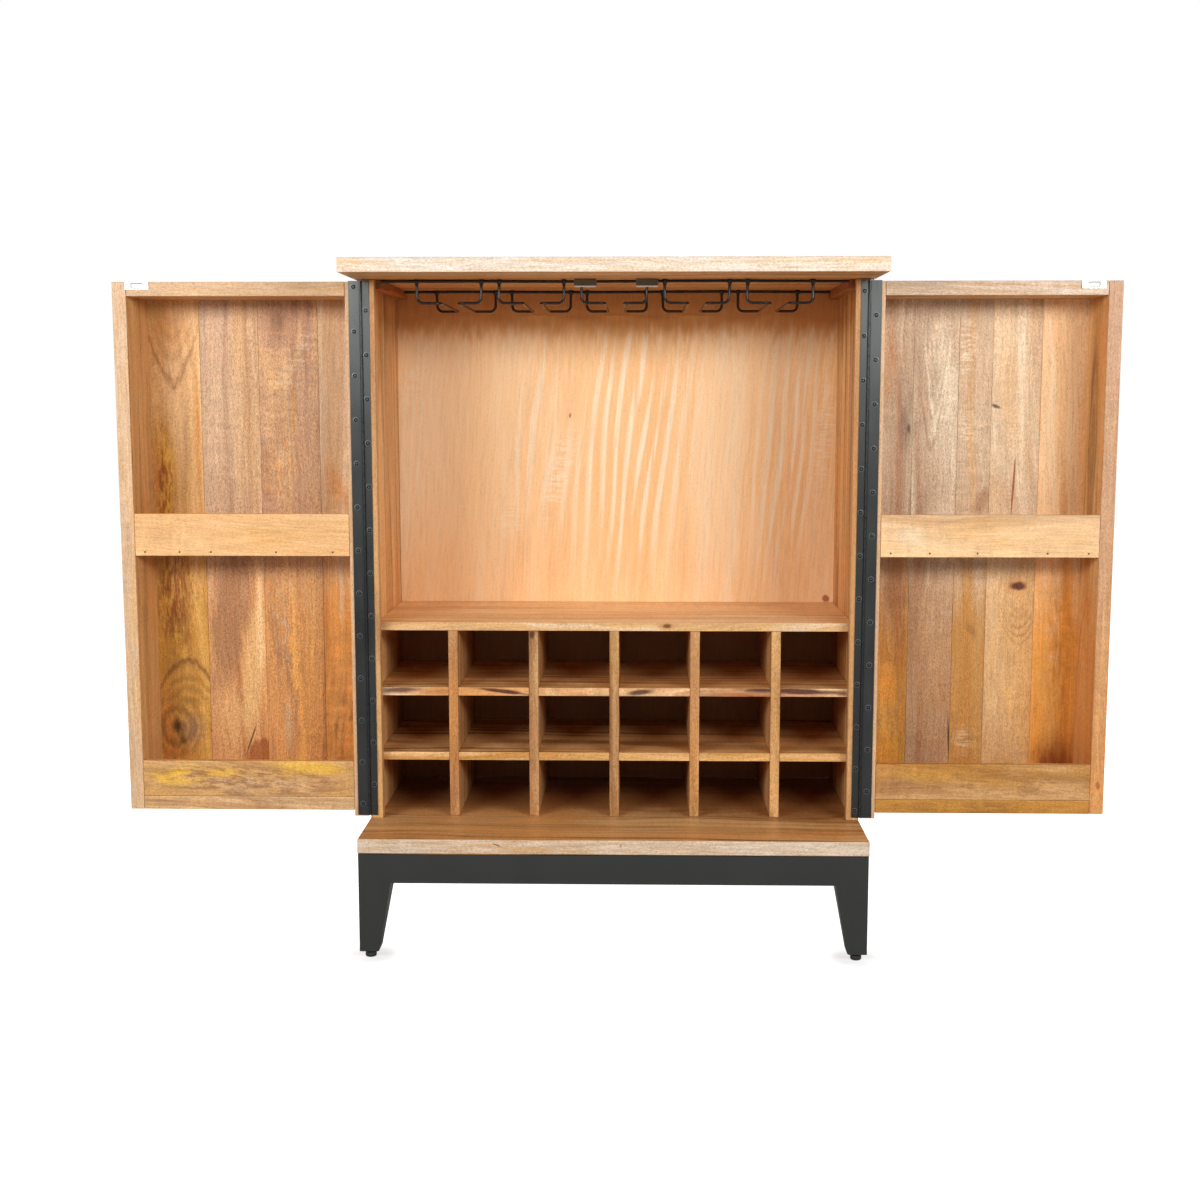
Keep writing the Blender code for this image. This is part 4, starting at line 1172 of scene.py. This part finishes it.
left_planks = [
    (Grain("peach", "honey", "tan", rings=34, contrast=0.9, streak="honey", streak_share=0.3,
           cloud="gold", cloud_share=0.25, foot="gold", foot_share=0.95, foot_start=0.14,
           foot_end=-0.16, drift=0.02, fleck=1.5),
     [Mark(-0.728, 0.86, 0.090, 0.28, "peach", 0.5, 0.9),
      Mark(-0.724, 0.99, 0.09, 0.12, "orange", 0.4, 1.0),
      Mark(-0.724, 0.935, 0.10, 0.14, "rust", 0.5, 0.20, form="arch"),
      Mark(-0.740, 0.74, 0.060, 0.30, "gold", 0.9, 0.9),
      Mark(-0.742, 0.73, 0.050, 0.26, "lemon", 0.8, 0.8, form="flame", pitch=0.020),
      Mark(-0.745, 0.73, 0.050, 0.26, "rust", form="flame", pitch=0.006),
      Mark(-0.757, 0.76, 0.012, 0.26, "orange", 0.8, 0.9),
      Mark(-0.686, 0.80, 0.014, 0.40, "orange", 0.8, 0.9),
      Mark(-0.706, 0.80, 0.022, 0.30, "taupe", 0.4, 1.0),
      Mark(-0.728, 0.53, 0.090, 0.28, "lemon", 0.5, form="flame", pitch=0.030),
      Mark(-0.738, 0.53, 0.064, 0.28, "brown", 0.9, form="flame", pitch=0.012),
      Mark(-0.728, 0.54, 0.084, 0.26, "rust", 0.75, form="flame", pitch=0.005),
      Mark(-0.712, 0.36, 0.10, 0.12, "gold", 0.5, 0.9),
      Mark(-0.716, 0.40, 0.12, 0.09, "brown", 0.85, 0.22, 180, form="bow"),
      Mark(-0.754, 0.31, 0.06, 0.26, "orange", 0.95, 1.0),
      Mark(-0.735, 0.270, 0.10, 0.07, "orange", 0.7, 1.0),
      Mark(-0.712, 0.312, 0.06, 0.09, "mauve", 0.6, 1.0),
      Mark(-0.7363, 0.321, 0.13, 0.15, "umber", 0.42, form="swirl"),
      Mark(-0.728, 0.300, 0.020, 0.060, "umber", 0.6, 1.0, -20),
      Mark(-0.7363, 0.321, 0.022, 0.030, "umber", 0.9, 0.8, knot=0.012)]),
    (Grain("pinkish", "beige", "taupe", rings=54, streak="honey", streak_share=0.35,
           cloud_share=0.4, foot="orange", foot_share=0.65, fleck=2.0),
     [Mark(-0.615, 0.97, 0.03, 0.22, "honey", 0.5, 1.0),
      Mark(-0.604, 0.42, 0.060, 0.36, "honey", 0.85, 0.7, 9),
      Mark(-0.592, 0.50, 0.018, 0.30, "peach", 0.6, 0.8, 2),
      Mark(-0.640, 0.52, 0.080, 0.36, "taupe", 0.9, 0.6, 8),
      Mark(-0.645, 0.33, 0.060, 0.16, "honey", 0.5, 0.9),
      Mark(-0.590, 0.262, 0.068, 0.082, "rust", 0.75, 0.2),
      Mark(-0.612, 0.298, 0.0034, 0.070, "umber", 0.85, 0.6, 21)]),
    (Grain("honey", "mauve", "taupe", rings=48, streak="honey", streak_share=0.35,
           cloud="pinkish", cloud_share=0.5, curl=0.1, foot="orange", foot_share=0.7, fleck=2.0),
     [Mark(-0.55, 0.955, 0.10, 0.19, "honey", 0.4, 0.3, form="bow"),
      Mark(-0.550, 0.985, 0.074, 0.12, "mauve", 0.9, 0.6),
      Mark(-0.550, 0.988, 0.060, 0.09, "taupe", 0.9, 0.8),
      Mark(-0.548, 0.990, 0.030, 0.05, "plum", 0.3, 1.0),
      Mark(-0.52, 0.93, 0.050, 0.20, "cream", 0.3, 1.0, 30, form="ripple"),
      Mark(-0.528, 0.84, 0.010, 0.14, "gold", 0.8, 0.9),
      Mark(-0.55, 0.76, 0.10, 0.18, "orange", 0.6, 0.9, 30, form="flame", pitch=0.008),
      Mark(-0.545, 0.74, 0.08, 0.14, "peach", 0.5, 1.0, form="flame", pitch=0.006),
      Mark(-0.55, 0.44, 0.09, 0.34, "taupe", 0.85, 0.9, -10, form="flame", pitch=0.012),
      Mark(-0.556, 0.50, 0.040, 0.24, "beige", 0.7, 0.9, -8, form="flame", pitch=0.006),
      Mark(-0.548, 0.32, 0.024, 0.14, "beige", 0.6, 1.0),
      Mark(-0.51, 0.36, 0.05, 0.22, "orange", 0.5, 1.0, -8)]),
    (Grain("cream", "pinkish", "tan", rings=44, streak="peach", streak_share=0.6, cloud="honey",
           cloud_share=0.5, foot="orange", foot_share=0.95, foot_start=0.0, foot_end=-0.14,
           curl=0.1, fleck=1.2),
     [Mark(-0.45, 0.88, 0.14, 0.40, "beige", 0.5, 0.8),
      Mark(-0.455, 0.72, 0.05, 0.14, "orange", 0.6, 1.0, -30),
      Mark(-0.45, 0.38, 0.12, 0.44, "brown", 0.15, 1.0),
      Mark(-0.455, 0.32, 0.07, 0.20, "brown", 0.8, 0.9, form="flame", pitch=0.009)]),
]
right_planks = [
    (Grain("cream", "grey", "mauve", rings=46, streak="mauve", streak_share=0.3, cloud="pinkish",
           cloud_share=0.5, foot="gold", foot_share=0.95, foot_start=0.02, foot_end=-0.14,
           fleck=1.5),
     [Mark(0.45, 0.90, 0.08, 0.22, "orange", 0.35, 0.9, form="flame"),
      Mark(0.475, 0.86, 0.04, 0.26, "plum", 0.3, 0.9, form="flame", pitch=0.030),
      Mark(0.470, 0.82, 0.03, 0.10, "plum", 0.35, 1.0),
      Mark(0.478, 0.819, 0.008, 0.02, "plum", 0.7),
      Mark(0.46, 0.54, 0.08, 0.24, "taupe", 0.8, 0.8),
      Mark(0.46, 0.46, 0.08, 0.30, "rust", 0.4, 0.9, form="flame", pitch=0.016),
      Mark(0.453, 0.393, 0.044, 0.09, "marigold", 0.95, 0.8),
      Mark(0.46, 0.29, 0.07, 0.14, "lemon", 0.4, 1.0, form="flame", pitch=0.030),
      Mark(0.45, 0.28, 0.06, 0.12, "marigold", 0.8, 1.0)]),
    (Grain("cream", "grey", "mauve", rings=50, streak="pinkish", streak_share=0.4, cloud="cream",
           cloud_share=0.3, foot="taupe", foot_share=0.7, foot_start=0.14, fleck=1.7),
     [Mark(0.52, 0.42, 0.14, 0.44, "ochre", 0.30, 0.8),
      Mark(0.53, 0.73, 0.07, 0.20, "taupe", 0.35, 1.0),
      Mark(0.522, 0.89, 0.05, 0.22, "cream", 0.8, 0.3, form="arch"),
      Mark(0.515, 0.84, 0.05, 0.16, "taupe", 0.5, 0.2, form="arch"),
      Mark(0.5555, 0.31, 0.0034, 0.09, "umber", 0.85, 0.5, -2)]),
    (Grain("grey", "beige", "tan", rings=40, contrast=0.8, streak="pinkish", streak_share=0.4,
           cloud="grey", cloud_share=0.4, curl=0.08, foot="ochre", foot_share=0.86,
           foot_end=-0.14, fleck=1.4),
     [Mark(0.57, 0.95, 0.05, 0.16, "cream", 0.6, 1.0, form="ripple"),
      Mark(0.57, 0.82, 0.05, 0.14, "cream", 0.5, 1.0, form="ripple"),
      Mark(0.6006, 0.70, 0.032, 0.075, "brown", 0.6, 0.8, 12),
      Mark(0.587, 0.489, 0.04, 0.02, "brown", 0.6, 0.8, 60),
      Mark(0.58, 0.30, 0.05, 0.07, "cream", 0.4, 1.0, form="ripple")]),
    (Grain("cream", "beige", "tan", rings=38, contrast=0.8, streak="honey", streak_share=0.4,
           cloud="honey", cloud_share=0.5, foot="gold", foot_share=0.35, fleck=1.4),
     [Mark(0.64, 0.88, 0.05, 0.24, "tan", 0.4, 1.0),
      Mark(0.65, 0.24, 0.08, 0.12, "ochre", 0.6, 1.0),
      Mark(0.6185, 0.8545, 0.022, 0.008, "umber", 0.85, 0.7, 20),
      Mark(0.650, 0.722, 0.0042, 0.13, "rust", 0.95, 0.5, 4),
      Mark(0.664, 0.512, 0.070, 0.060, "brown", 0.40, 0.16, form="bow"),
      Mark(0.666, 0.498, 0.066, 0.056, "brown", 0.40, 0.16, form="bow"),
      Mark(0.667, 0.484, 0.064, 0.054, "brown", 0.30, 0.16, form="bow"),
      Mark(0.664, 0.535, 0.11, 0.16, "tan", 0.7, form="swirl"),
      Mark(0.664, 0.561, 0.054, 0.040, "orange", 0.7, 1.0),
      Mark(0.664, 0.561, 0.036, 0.020, "plum", 0.95, 0.6, knot=0.014)]),
    (Grain("cream", "peach", "amber", rings=50, contrast=0.7, streak="amber", streak_share=0.4,
           cloud="peach", cloud_share=0.4, foot="marigold", foot_share=0.95, foot_start=0.06,
           foot_end=-0.16, fleck=0.9),
     [Mark(0.765, 0.80, 0.05, 0.60, "orange", 0.5, 1.0, 3),
      Mark(0.735, 0.66, 0.02, 0.30, "orange", 0.5, 1.0),
      Mark(0.735, 0.45, 0.08, 0.44, "marigold", 0.85, 0.8, form="flame", pitch=0.018),
      Mark(0.722, 0.46, 0.03, 0.30, "amber", 0.8, 0.9, form="flame", pitch=0.012),
      Mark(0.735, 0.45, 0.07, 0.44, "rust", 0.25, 0.8, form="flame", pitch=0.010),
      Mark(0.735, 0.255, 0.13, 0.15, "rust", 0.95, 0.9),
      Mark(0.725, 0.25, 0.05, 0.08, "umber", 0.5, 1.0, form="flame", pitch=0.012)]),
]


class CABINET_OT_door_panels(bpy.types.Operator):
    """Make the planked front panels of the doors"""

    bl_idname = "cabinet.door_panels"
    bl_label = "Door panels"

    def execute(self, context):
        borders = {"left": (-0.679, -0.583, -0.485), "right": (0.484, 0.557, 0.611, 0.690)}
        for side, planks in (("left", left_planks), ("right", right_planks)):
            name = f"door_{side}_front_panel"
            woods = [(f"{side}_plank_{number}", *look) for number, look in enumerate(planks, 1)]
            planked(name, side + "_door", "door_panel_wood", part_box(name), borders[side], 0, woods)
        return {"FINISHED"}


class CABINET_OT_hinges(bpy.types.Operator):
    """Make the piano hinges: two leaves with knuckles and screws, and a pin"""

    bl_idname = "cabinet.hinges"
    bl_label = "Piano hinges"

    def execute(self, context):
        shapes = context.scene.cabinet_shapes
        # The painted highlight below lightens the leaves, the knuckles and the screw rims towards
        # the top.
        steel = painted("hinge_steel", context.scene.cabinet_metals.hinge_steel, 0.30, 0.65,
                        mottle=0.22, wear=linear(70, 73, 72), painted_highlight=1.35)
        barrel = painted("hinge_barrel", linear(40, 42, 42), 0.34, 0.55, mottle=0.2, painted_highlight=0.5)
        screw = painted("hinge_screw", linear(16, 16, 16), 0.7, specular=0.1)
        # Painted highlight: the light rings round the screws stand for the lit edges of their
        # pressed dips.
        wear_and_rim_highlight = painted("hinge_rubbed", linear(82, 86, 85), 0.4, 0.5, painted_highlight=0.4)
        top_screws = {"left_door": 1.0394, "left_carcass": 1.0030,
                      "right_door": 0.9952, "right_carcass": 1.0320}
        share_out, lowest = 0.58, 0.008
        rim = shapes.screw_radius + 0.0011
        ring = [(rim, -0.0004), (rim, 0.00003), (rim - 0.0003, 0.00008), (0.0002, 0.00008)]
        for side, sign in sides:
            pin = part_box("hinge_pin_" + side)
            axis = (pin[0].x + pin[1].x) / 2, (pin[0].y + pin[1].y) / 2
            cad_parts["hinge_pin_" + side].material_slots[0].material = steel
            for leaf, body, out in (("carcass", "carcass", -sign), ("door", side + "_door", sign)):
                name = f"hinge_leaf_{leaf}_{side}"
                low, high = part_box(name)
                edge = low.x if out < 0 else high.x
                first = int(leaf == "door")
                piece = Piece(name + "_knuckled")
                self.leaf(piece, low, high, axis, edge, first, (steel, barrel))
                top = top_screws[f"{side}_{leaf}"]
                x = axis[0] + (edge - axis[0]) * share_out
                for number in range(int((top - low.z - lowest) / shapes.screw_pitch) + 1):
                    centre = (x, high.y - leaf_thickness, top - number * shapes.screw_pitch)
                    turn = 0.7 * number + 0.4 * first
                    piece.add(*turned(ring, centre, (0, -1, 0), 20), wear_and_rim_highlight, smooth=True)
                    piece.add(*screw_head(centre, (0, -1, 0), shapes.screw_radius, turn),
                              screw, smooth=True)
                piece.done(body, "hinge_metal", name)
        return {"FINISHED"}

    def leaf(self, piece, low, high, axis, edge, first, metals):
        """A plate from the axis to its edge, and every second knuckle round the axis.

        The plate is notched where the other leaf has its knuckles. A knuckle is a round tube
        with its ends eased, along an even share of the hinge.
        """
        plate, barrel = metals
        knuckles = bpy.context.scene.cabinet_shapes.knuckles_between
        radius = axis[1] - low.y
        out = 1 if edge > axis[0] else -1
        x = sorted([edge, axis[0] + out * (radius + 0.0003), axis[0] + out * radius * 0.6])
        z = np.linspace(low.z, high.z, knuckles + 1)
        filled = np.ones((2, 1, knuckles), bool)
        filled[int(out < 0), 0, 1 - first::2] = False
        y = np.array([high.y - leaf_thickness, high.y])
        piece.add(*lattice([np.array(x), y, z], filled), plate)
        ease, play, bore = 0.0004, 0.00025, 0.0012
        tall = z[1] - z[0] - 2 * play
        profile = [(bore, 0), (radius - ease, 0), (radius, ease), (radius, tall - ease),
                   (radius - ease, tall), (bore, tall)]
        for start in z[first:knuckles:2]:
            piece.add(*turned(profile, (*axis, start + play), (0, 0, 1), 14), barrel, smooth=True)


class CABINET_OT_catches(bpy.types.Operator):
    """Make the catches under the top and their strike plates on the doors"""

    bl_idname = "cabinet.catches"
    bl_label = "Catches and strikes"

    def execute(self, context):
        metals = context.scene.cabinet_metals
        plastic = painted("catch_plastic", metals.catch_body, 0.5)
        zinc = painted("strike_zinc", metals.zinc, 0.3, 0.35, mottle=0.04)
        steel = painted("catch_steel", linear(206, 200, 188), 0.3, 0.85)
        for side, _ in sides:
            self.catch(side, plastic, steel)
            self.strike(side, zinc, steel)
        return {"FINISHED"}

    def catch(self, side, plastic, steel):
        """A grey-brown body with two thin steel lips along its lower edge."""
        name = "catch_" + side
        low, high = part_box(name)
        cell, lip = 0.02, (0.0012, 0.0022)
        piece = Piece(name + "_finished")
        body_low = (low.x, low.y + 0.0008, low.z + lip[1] + 0.0002)
        piece.add(*lattice(box_lines(body_low, high, cell)), plastic, edge=0.0009, segments=3)
        for start in (low.y, low.y + 0.0042):
            corners = ((low.x + 0.001, start, low.z),
                       (high.x - 0.001, start + lip[0], low.z + lip[1]))
            piece.add(*lattice(box_lines(*corners, cell)), steel, edge=0.0003)
        piece.done("carcass", "catch_body", name)

    def strike(self, side, zinc, steel):
        """A pressed plate: its face dips in a rounded pan, and two screws hold it.

        The dip is the product of two smooth steps, one from the ends and one from the edges.
        """
        name = "strike_plate_" + side
        low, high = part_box(name)
        middle = (low.x + high.x) / 2, (low.z + high.z) / 2
        deep, cell = 0.0009, 0.0009
        points, faces = lattice(box_lines(low, high, cell))
        across = np.abs(points[:, 0] - middle[0])
        up = np.abs(points[:, 2] - middle[1])
        dip = self.fall(across, 0.0075, 0.0098) * self.fall(up, 0.0028, 0.0042)
        points[:, 1] += np.where(np.isclose(points[:, 1], low.y), deep * dip, 0)
        piece = Piece(name + "_pressed")
        piece.add(points, faces, zinc, smooth=True)
        for sign in (-1, 1):
            centre = (middle[0] + sign * 0.0143, low.y + 0.0004, middle[1])
            piece.add(*screw_head(centre, (0, -1, 0), 0.0026, sign, 16), steel, smooth=True)
        piece.done(side + "_door", "strike_metal", name)

    def fall(self, value, start, end):
        """1 before the start, 0 after the end, with a smooth step between them."""
        share = np.clip((end - value) / (end - start), 0, 1)
        return share * share * (3 - 2 * share)


class CABINET_OT_knobs(bpy.types.Operator):
    """Make the knobs on the fronts of the doors"""

    bl_idname = "cabinet.knobs"
    bl_label = "Knobs"

    def execute(self, context):
        paint = painted("knob_paint", context.scene.cabinet_metals.base_paint, 0.4)
        for side, _ in sides:
            name = "door_knob_" + side
            low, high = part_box(name)
            radius, reach = (high.x - low.x) / 2, high.y - low.y
            centre = ((low.x + high.x) / 2, low.y, (low.z + high.z) / 2)
            profile = [(0.0010, 0), (radius * 0.62, 0), (radius * 0.66, 0.0006),
                       (radius * 0.62, 0.0014), (radius * 0.44, 0.0022)]
            profile += arc((radius * 0.80, 0.0075), radius * 0.36, 200, 130, 6)
            profile += arc((radius - 0.004, reach - 0.0062), 0.004, -38, 0, 4)
            profile += arc((radius - 0.0035, reach - 0.0045), 0.0035, 0, 62, 5)
            profile += [(radius * 0.5, reach - 0.0004), (0.0010, reach)]
            piece = Piece(name + "_turned")
            piece.add(*turned(profile, centre, (0, 1, 0), 36), paint, smooth=True)
            piece.done(side + "_door", "knob_metal", name)
        return {"FINISHED"}


class CABINET_OT_fasteners(bpy.types.Operator):
    """Make the nails of the guard rails and the screws of the cleats"""

    bl_idname = "cabinet.fasteners"
    bl_label = "Nails and screws"

    def execute(self, context):
        radius = context.scene.cabinet_shapes.nail_radius
        iron = painted("nail_iron", linear(66, 42, 28), 0.6, 0.2)
        head = [(radius, -0.004), (radius, 0.0001), (radius * 0.8, 0.0003), (0.0002, 0.0003)]
        places = {"left": (-0.7471, -0.6918, -0.6417, -0.5376, -0.447),
                  "right": (0.4363, 0.4977, 0.5727, 0.6825, 0.7469)}
        for side, xs in places.items():
            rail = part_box(f"door_{side}_middle_guard_rail")[0]
            piece = Piece(f"rail_nails_{side}")
            for x in xs:
                centre = (x, rail.y, rail.z + 0.0062)
                piece.add(*turned(head, centre, (0, -1, 0), 12), iron, smooth=True)
            piece.done(side + "_door", "guard_rail_wood")
        steel = painted("screw_steel", linear(120, 122, 118), 0.3, 0.9)
        inner_face = 0.3645
        piece = Piece("cleat_screws")
        for side, sign in sides:
            low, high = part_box("top_cleat_" + side)
            for share in (0.12, 0.5, 0.88):
                centre = (sign * inner_face, low.y + share * (high.y - low.y),
                          (low.z + high.z) / 2)
                piece.add(*screw_head(centre, (-sign, 0, 0), 0.0028, share, 16), steel,
                          smooth=True)
        piece.done("carcass", "rack_wire")
        return {"FINISHED"}


class CABINET_OT_stage(bpy.types.Operator):
    """Make the floor, the lamps and the camera"""

    bl_idname = "cabinet.stage"
    bl_label = "Stage"

    def execute(self, context):
        stage = context.scene.cabinet_stage
        self.floor(stage)
        self.world(context, stage)
        for side, sign in sides:
            self.lamp("key_" + side, (sign * 1.9, -2.4, 1.5), (0, 0, 1.6), (1.6, 0.6),
                      stage.key_power)
        self.lamp("rear", (0, 3.2, 2.0), (0, 0, 0.6), (2.4, 0.8), stage.rear_power)
        for side, sign in sides:
            self.lamp(side, (sign * 3.4, 0.6, 1.8), (0, 0.3, 0.6), (1.2, 1.2), stage.side_power)
        camera = bpy.data.cameras.new("camera")
        camera.lens = stage.lens
        camera.sensor_width = 36
        camera.shift_x = stage.shift
        holder = bpy.data.objects.new("camera", camera)
        holder.location = stage.camera_place
        holder.rotation_euler = (math.pi / 2 - stage.camera_pitch, 0, stage.camera_turn)
        context.scene.collection.objects.link(holder)
        context.scene.camera = holder
        context.scene.view_settings.view_transform = "Standard"
        return {"FINISHED"}

    def floor(self, stage):
        """A pale disc that takes shadows and looks white where nothing shades it.

        It glows less round the front feet, where the photo shows their shadows, and fully
        far off.
        """
        count, radius = 96, 9
        cosine, sine = circle(count)
        mesh = bpy.data.meshes.new("floor")
        mesh.from_pydata(np.stack([radius * cosine, radius * sine, 0 * cosine], -1).tolist(), [],
                         [list(range(count))])
        finish = Finish("floor_paint", 0.9)
        seen = finish.node("ShaderNodeLightPath", out="Is Camera Ray")
        place = finish.node("ShaderNodeTexCoord", out="Object")
        x, y, _ = finish.parts(place)
        beside, before = abs(x) - 0.379, y + 0.1905
        # Painted shadow: the glow drops round the two front feet.
        painted_foot_shadow = 1 - (beside * beside + before * before).smooth(0.0003, 0.0030)
        away = (x * x + y * y).smooth(0.4, 3.0)
        level = 0.92 + away * 0.08 - painted_foot_shadow * 0.34
        finish.surface("Base Color", (*stage.floor_colour, 1.0))
        finish.surface("Emission Color", finish.scaled((1.0, 1.0, 1.0), seen * level))
        finish.surface("Emission Strength", 1.0)
        mesh.materials.append(finish.material)
        floor = bpy.data.objects.new("floor", mesh)
        bpy.context.scene.collection.objects.link(floor)

    def world(self, context, stage):
        """White for the camera and in reflections, soft grey light for the rest."""
        world = bpy.data.worlds.new("studio")
        world.use_nodes = True
        nodes = Nodes(world.node_tree)
        background = nodes.tree.nodes["Background"]
        seen = nodes.node("ShaderNodeLightPath", out="Is Camera Ray")
        for ray in ("Is Glossy Ray", "Is Transmission Ray"):
            seen = seen.maths("MAXIMUM", seen, nodes.node("ShaderNodeLightPath", out=ray))
        strength = nodes.node("ShaderNodeMapRange", {}, {"Value": seen, "To Min": stage.sky})
        nodes.feed(background.inputs["Strength"], strength)
        nodes.feed(background.inputs["Color"], (1.0, 1.0, 1.0, 1.0))
        context.scene.world = world

    def lamp(self, name, place, target, size, power):
        """A soft lamp, so wide and so high, that faces a target."""
        light = bpy.data.lights.new(name, "AREA")
        light.shape = "RECTANGLE"
        light.size, light.size_y = size
        light.energy = power
        holder = bpy.data.objects.new(name, light)
        holder.location = place
        heading = Vector(target) - Vector(place)
        holder.rotation_euler = heading.to_track_quat("-Z", "Y").to_euler()
        bpy.context.scene.collection.objects.link(holder)


class CABINET_PT_looks(bpy.types.Panel):
    """The steps that dress the cabinet, in order"""

    bl_idname = "CABINET_PT_looks"
    bl_label = "Bar Cabinet"
    bl_space_type = "VIEW_3D"
    bl_region_type = "UI"
    bl_category = "Bar Cabinet"

    def draw(self, context):
        for operator in operators:
            self.layout.operator(operator.bl_idname)
        for group in ("cabinet_woods", "cabinet_metals", "cabinet_shapes", "cabinet_stage"):
            settings = getattr(context.scene, group)
            column = self.layout.column()
            for key in settings.bl_rna.properties.keys():
                if key not in ("rna_type", "name"):
                    column.prop(settings, key)


groups = {"cabinet_woods": CabinetWoods, "cabinet_metals": CabinetMetals,
          "cabinet_shapes": CabinetShapes, "cabinet_stage": CabinetStage}
operators = (CABINET_OT_stage, CABINET_OT_top_and_base, CABINET_OT_base_frame,
             CABINET_OT_feet, CABINET_OT_carcass, CABINET_OT_bottle_grid, CABINET_OT_rack,
             CABINET_OT_door_boxes, CABINET_OT_door_panels, CABINET_OT_hinges,
             CABINET_OT_catches, CABINET_OT_knobs, CABINET_OT_fasteners)


def register():
    """Register the settings, the operators and the panel."""
    for name, group in groups.items():
        bpy.utils.register_class(group)
        setattr(bpy.types.Scene, name, PointerProperty(type=group))
    for operator in operators:
        bpy.utils.register_class(operator)
    bpy.utils.register_class(CABINET_PT_looks)


def unregister():
    """Take back what register added."""
    bpy.utils.unregister_class(CABINET_PT_looks)
    for operator in reversed(operators):
        bpy.utils.unregister_class(operator)
    for name, group in reversed(groups.items()):
        delattr(bpy.types.Scene, name)
        bpy.utils.unregister_class(group)


def main():
    """Dress the cabinet."""
    register()
    bpy.ops.cabinet.stage()
    bpy.ops.cabinet.top_and_base()
    bpy.ops.cabinet.base_frame()
    bpy.ops.cabinet.feet()
    bpy.ops.cabinet.carcass()
    bpy.ops.cabinet.bottle_grid()
    bpy.ops.cabinet.rack()
    bpy.ops.cabinet.door_boxes()
    bpy.ops.cabinet.door_panels()
    bpy.ops.cabinet.hinges()
    bpy.ops.cabinet.catches()
    bpy.ops.cabinet.knobs()
    bpy.ops.cabinet.fasteners()
    bpy.context.view_layer.update()


if __name__ == "__main__":
    main()
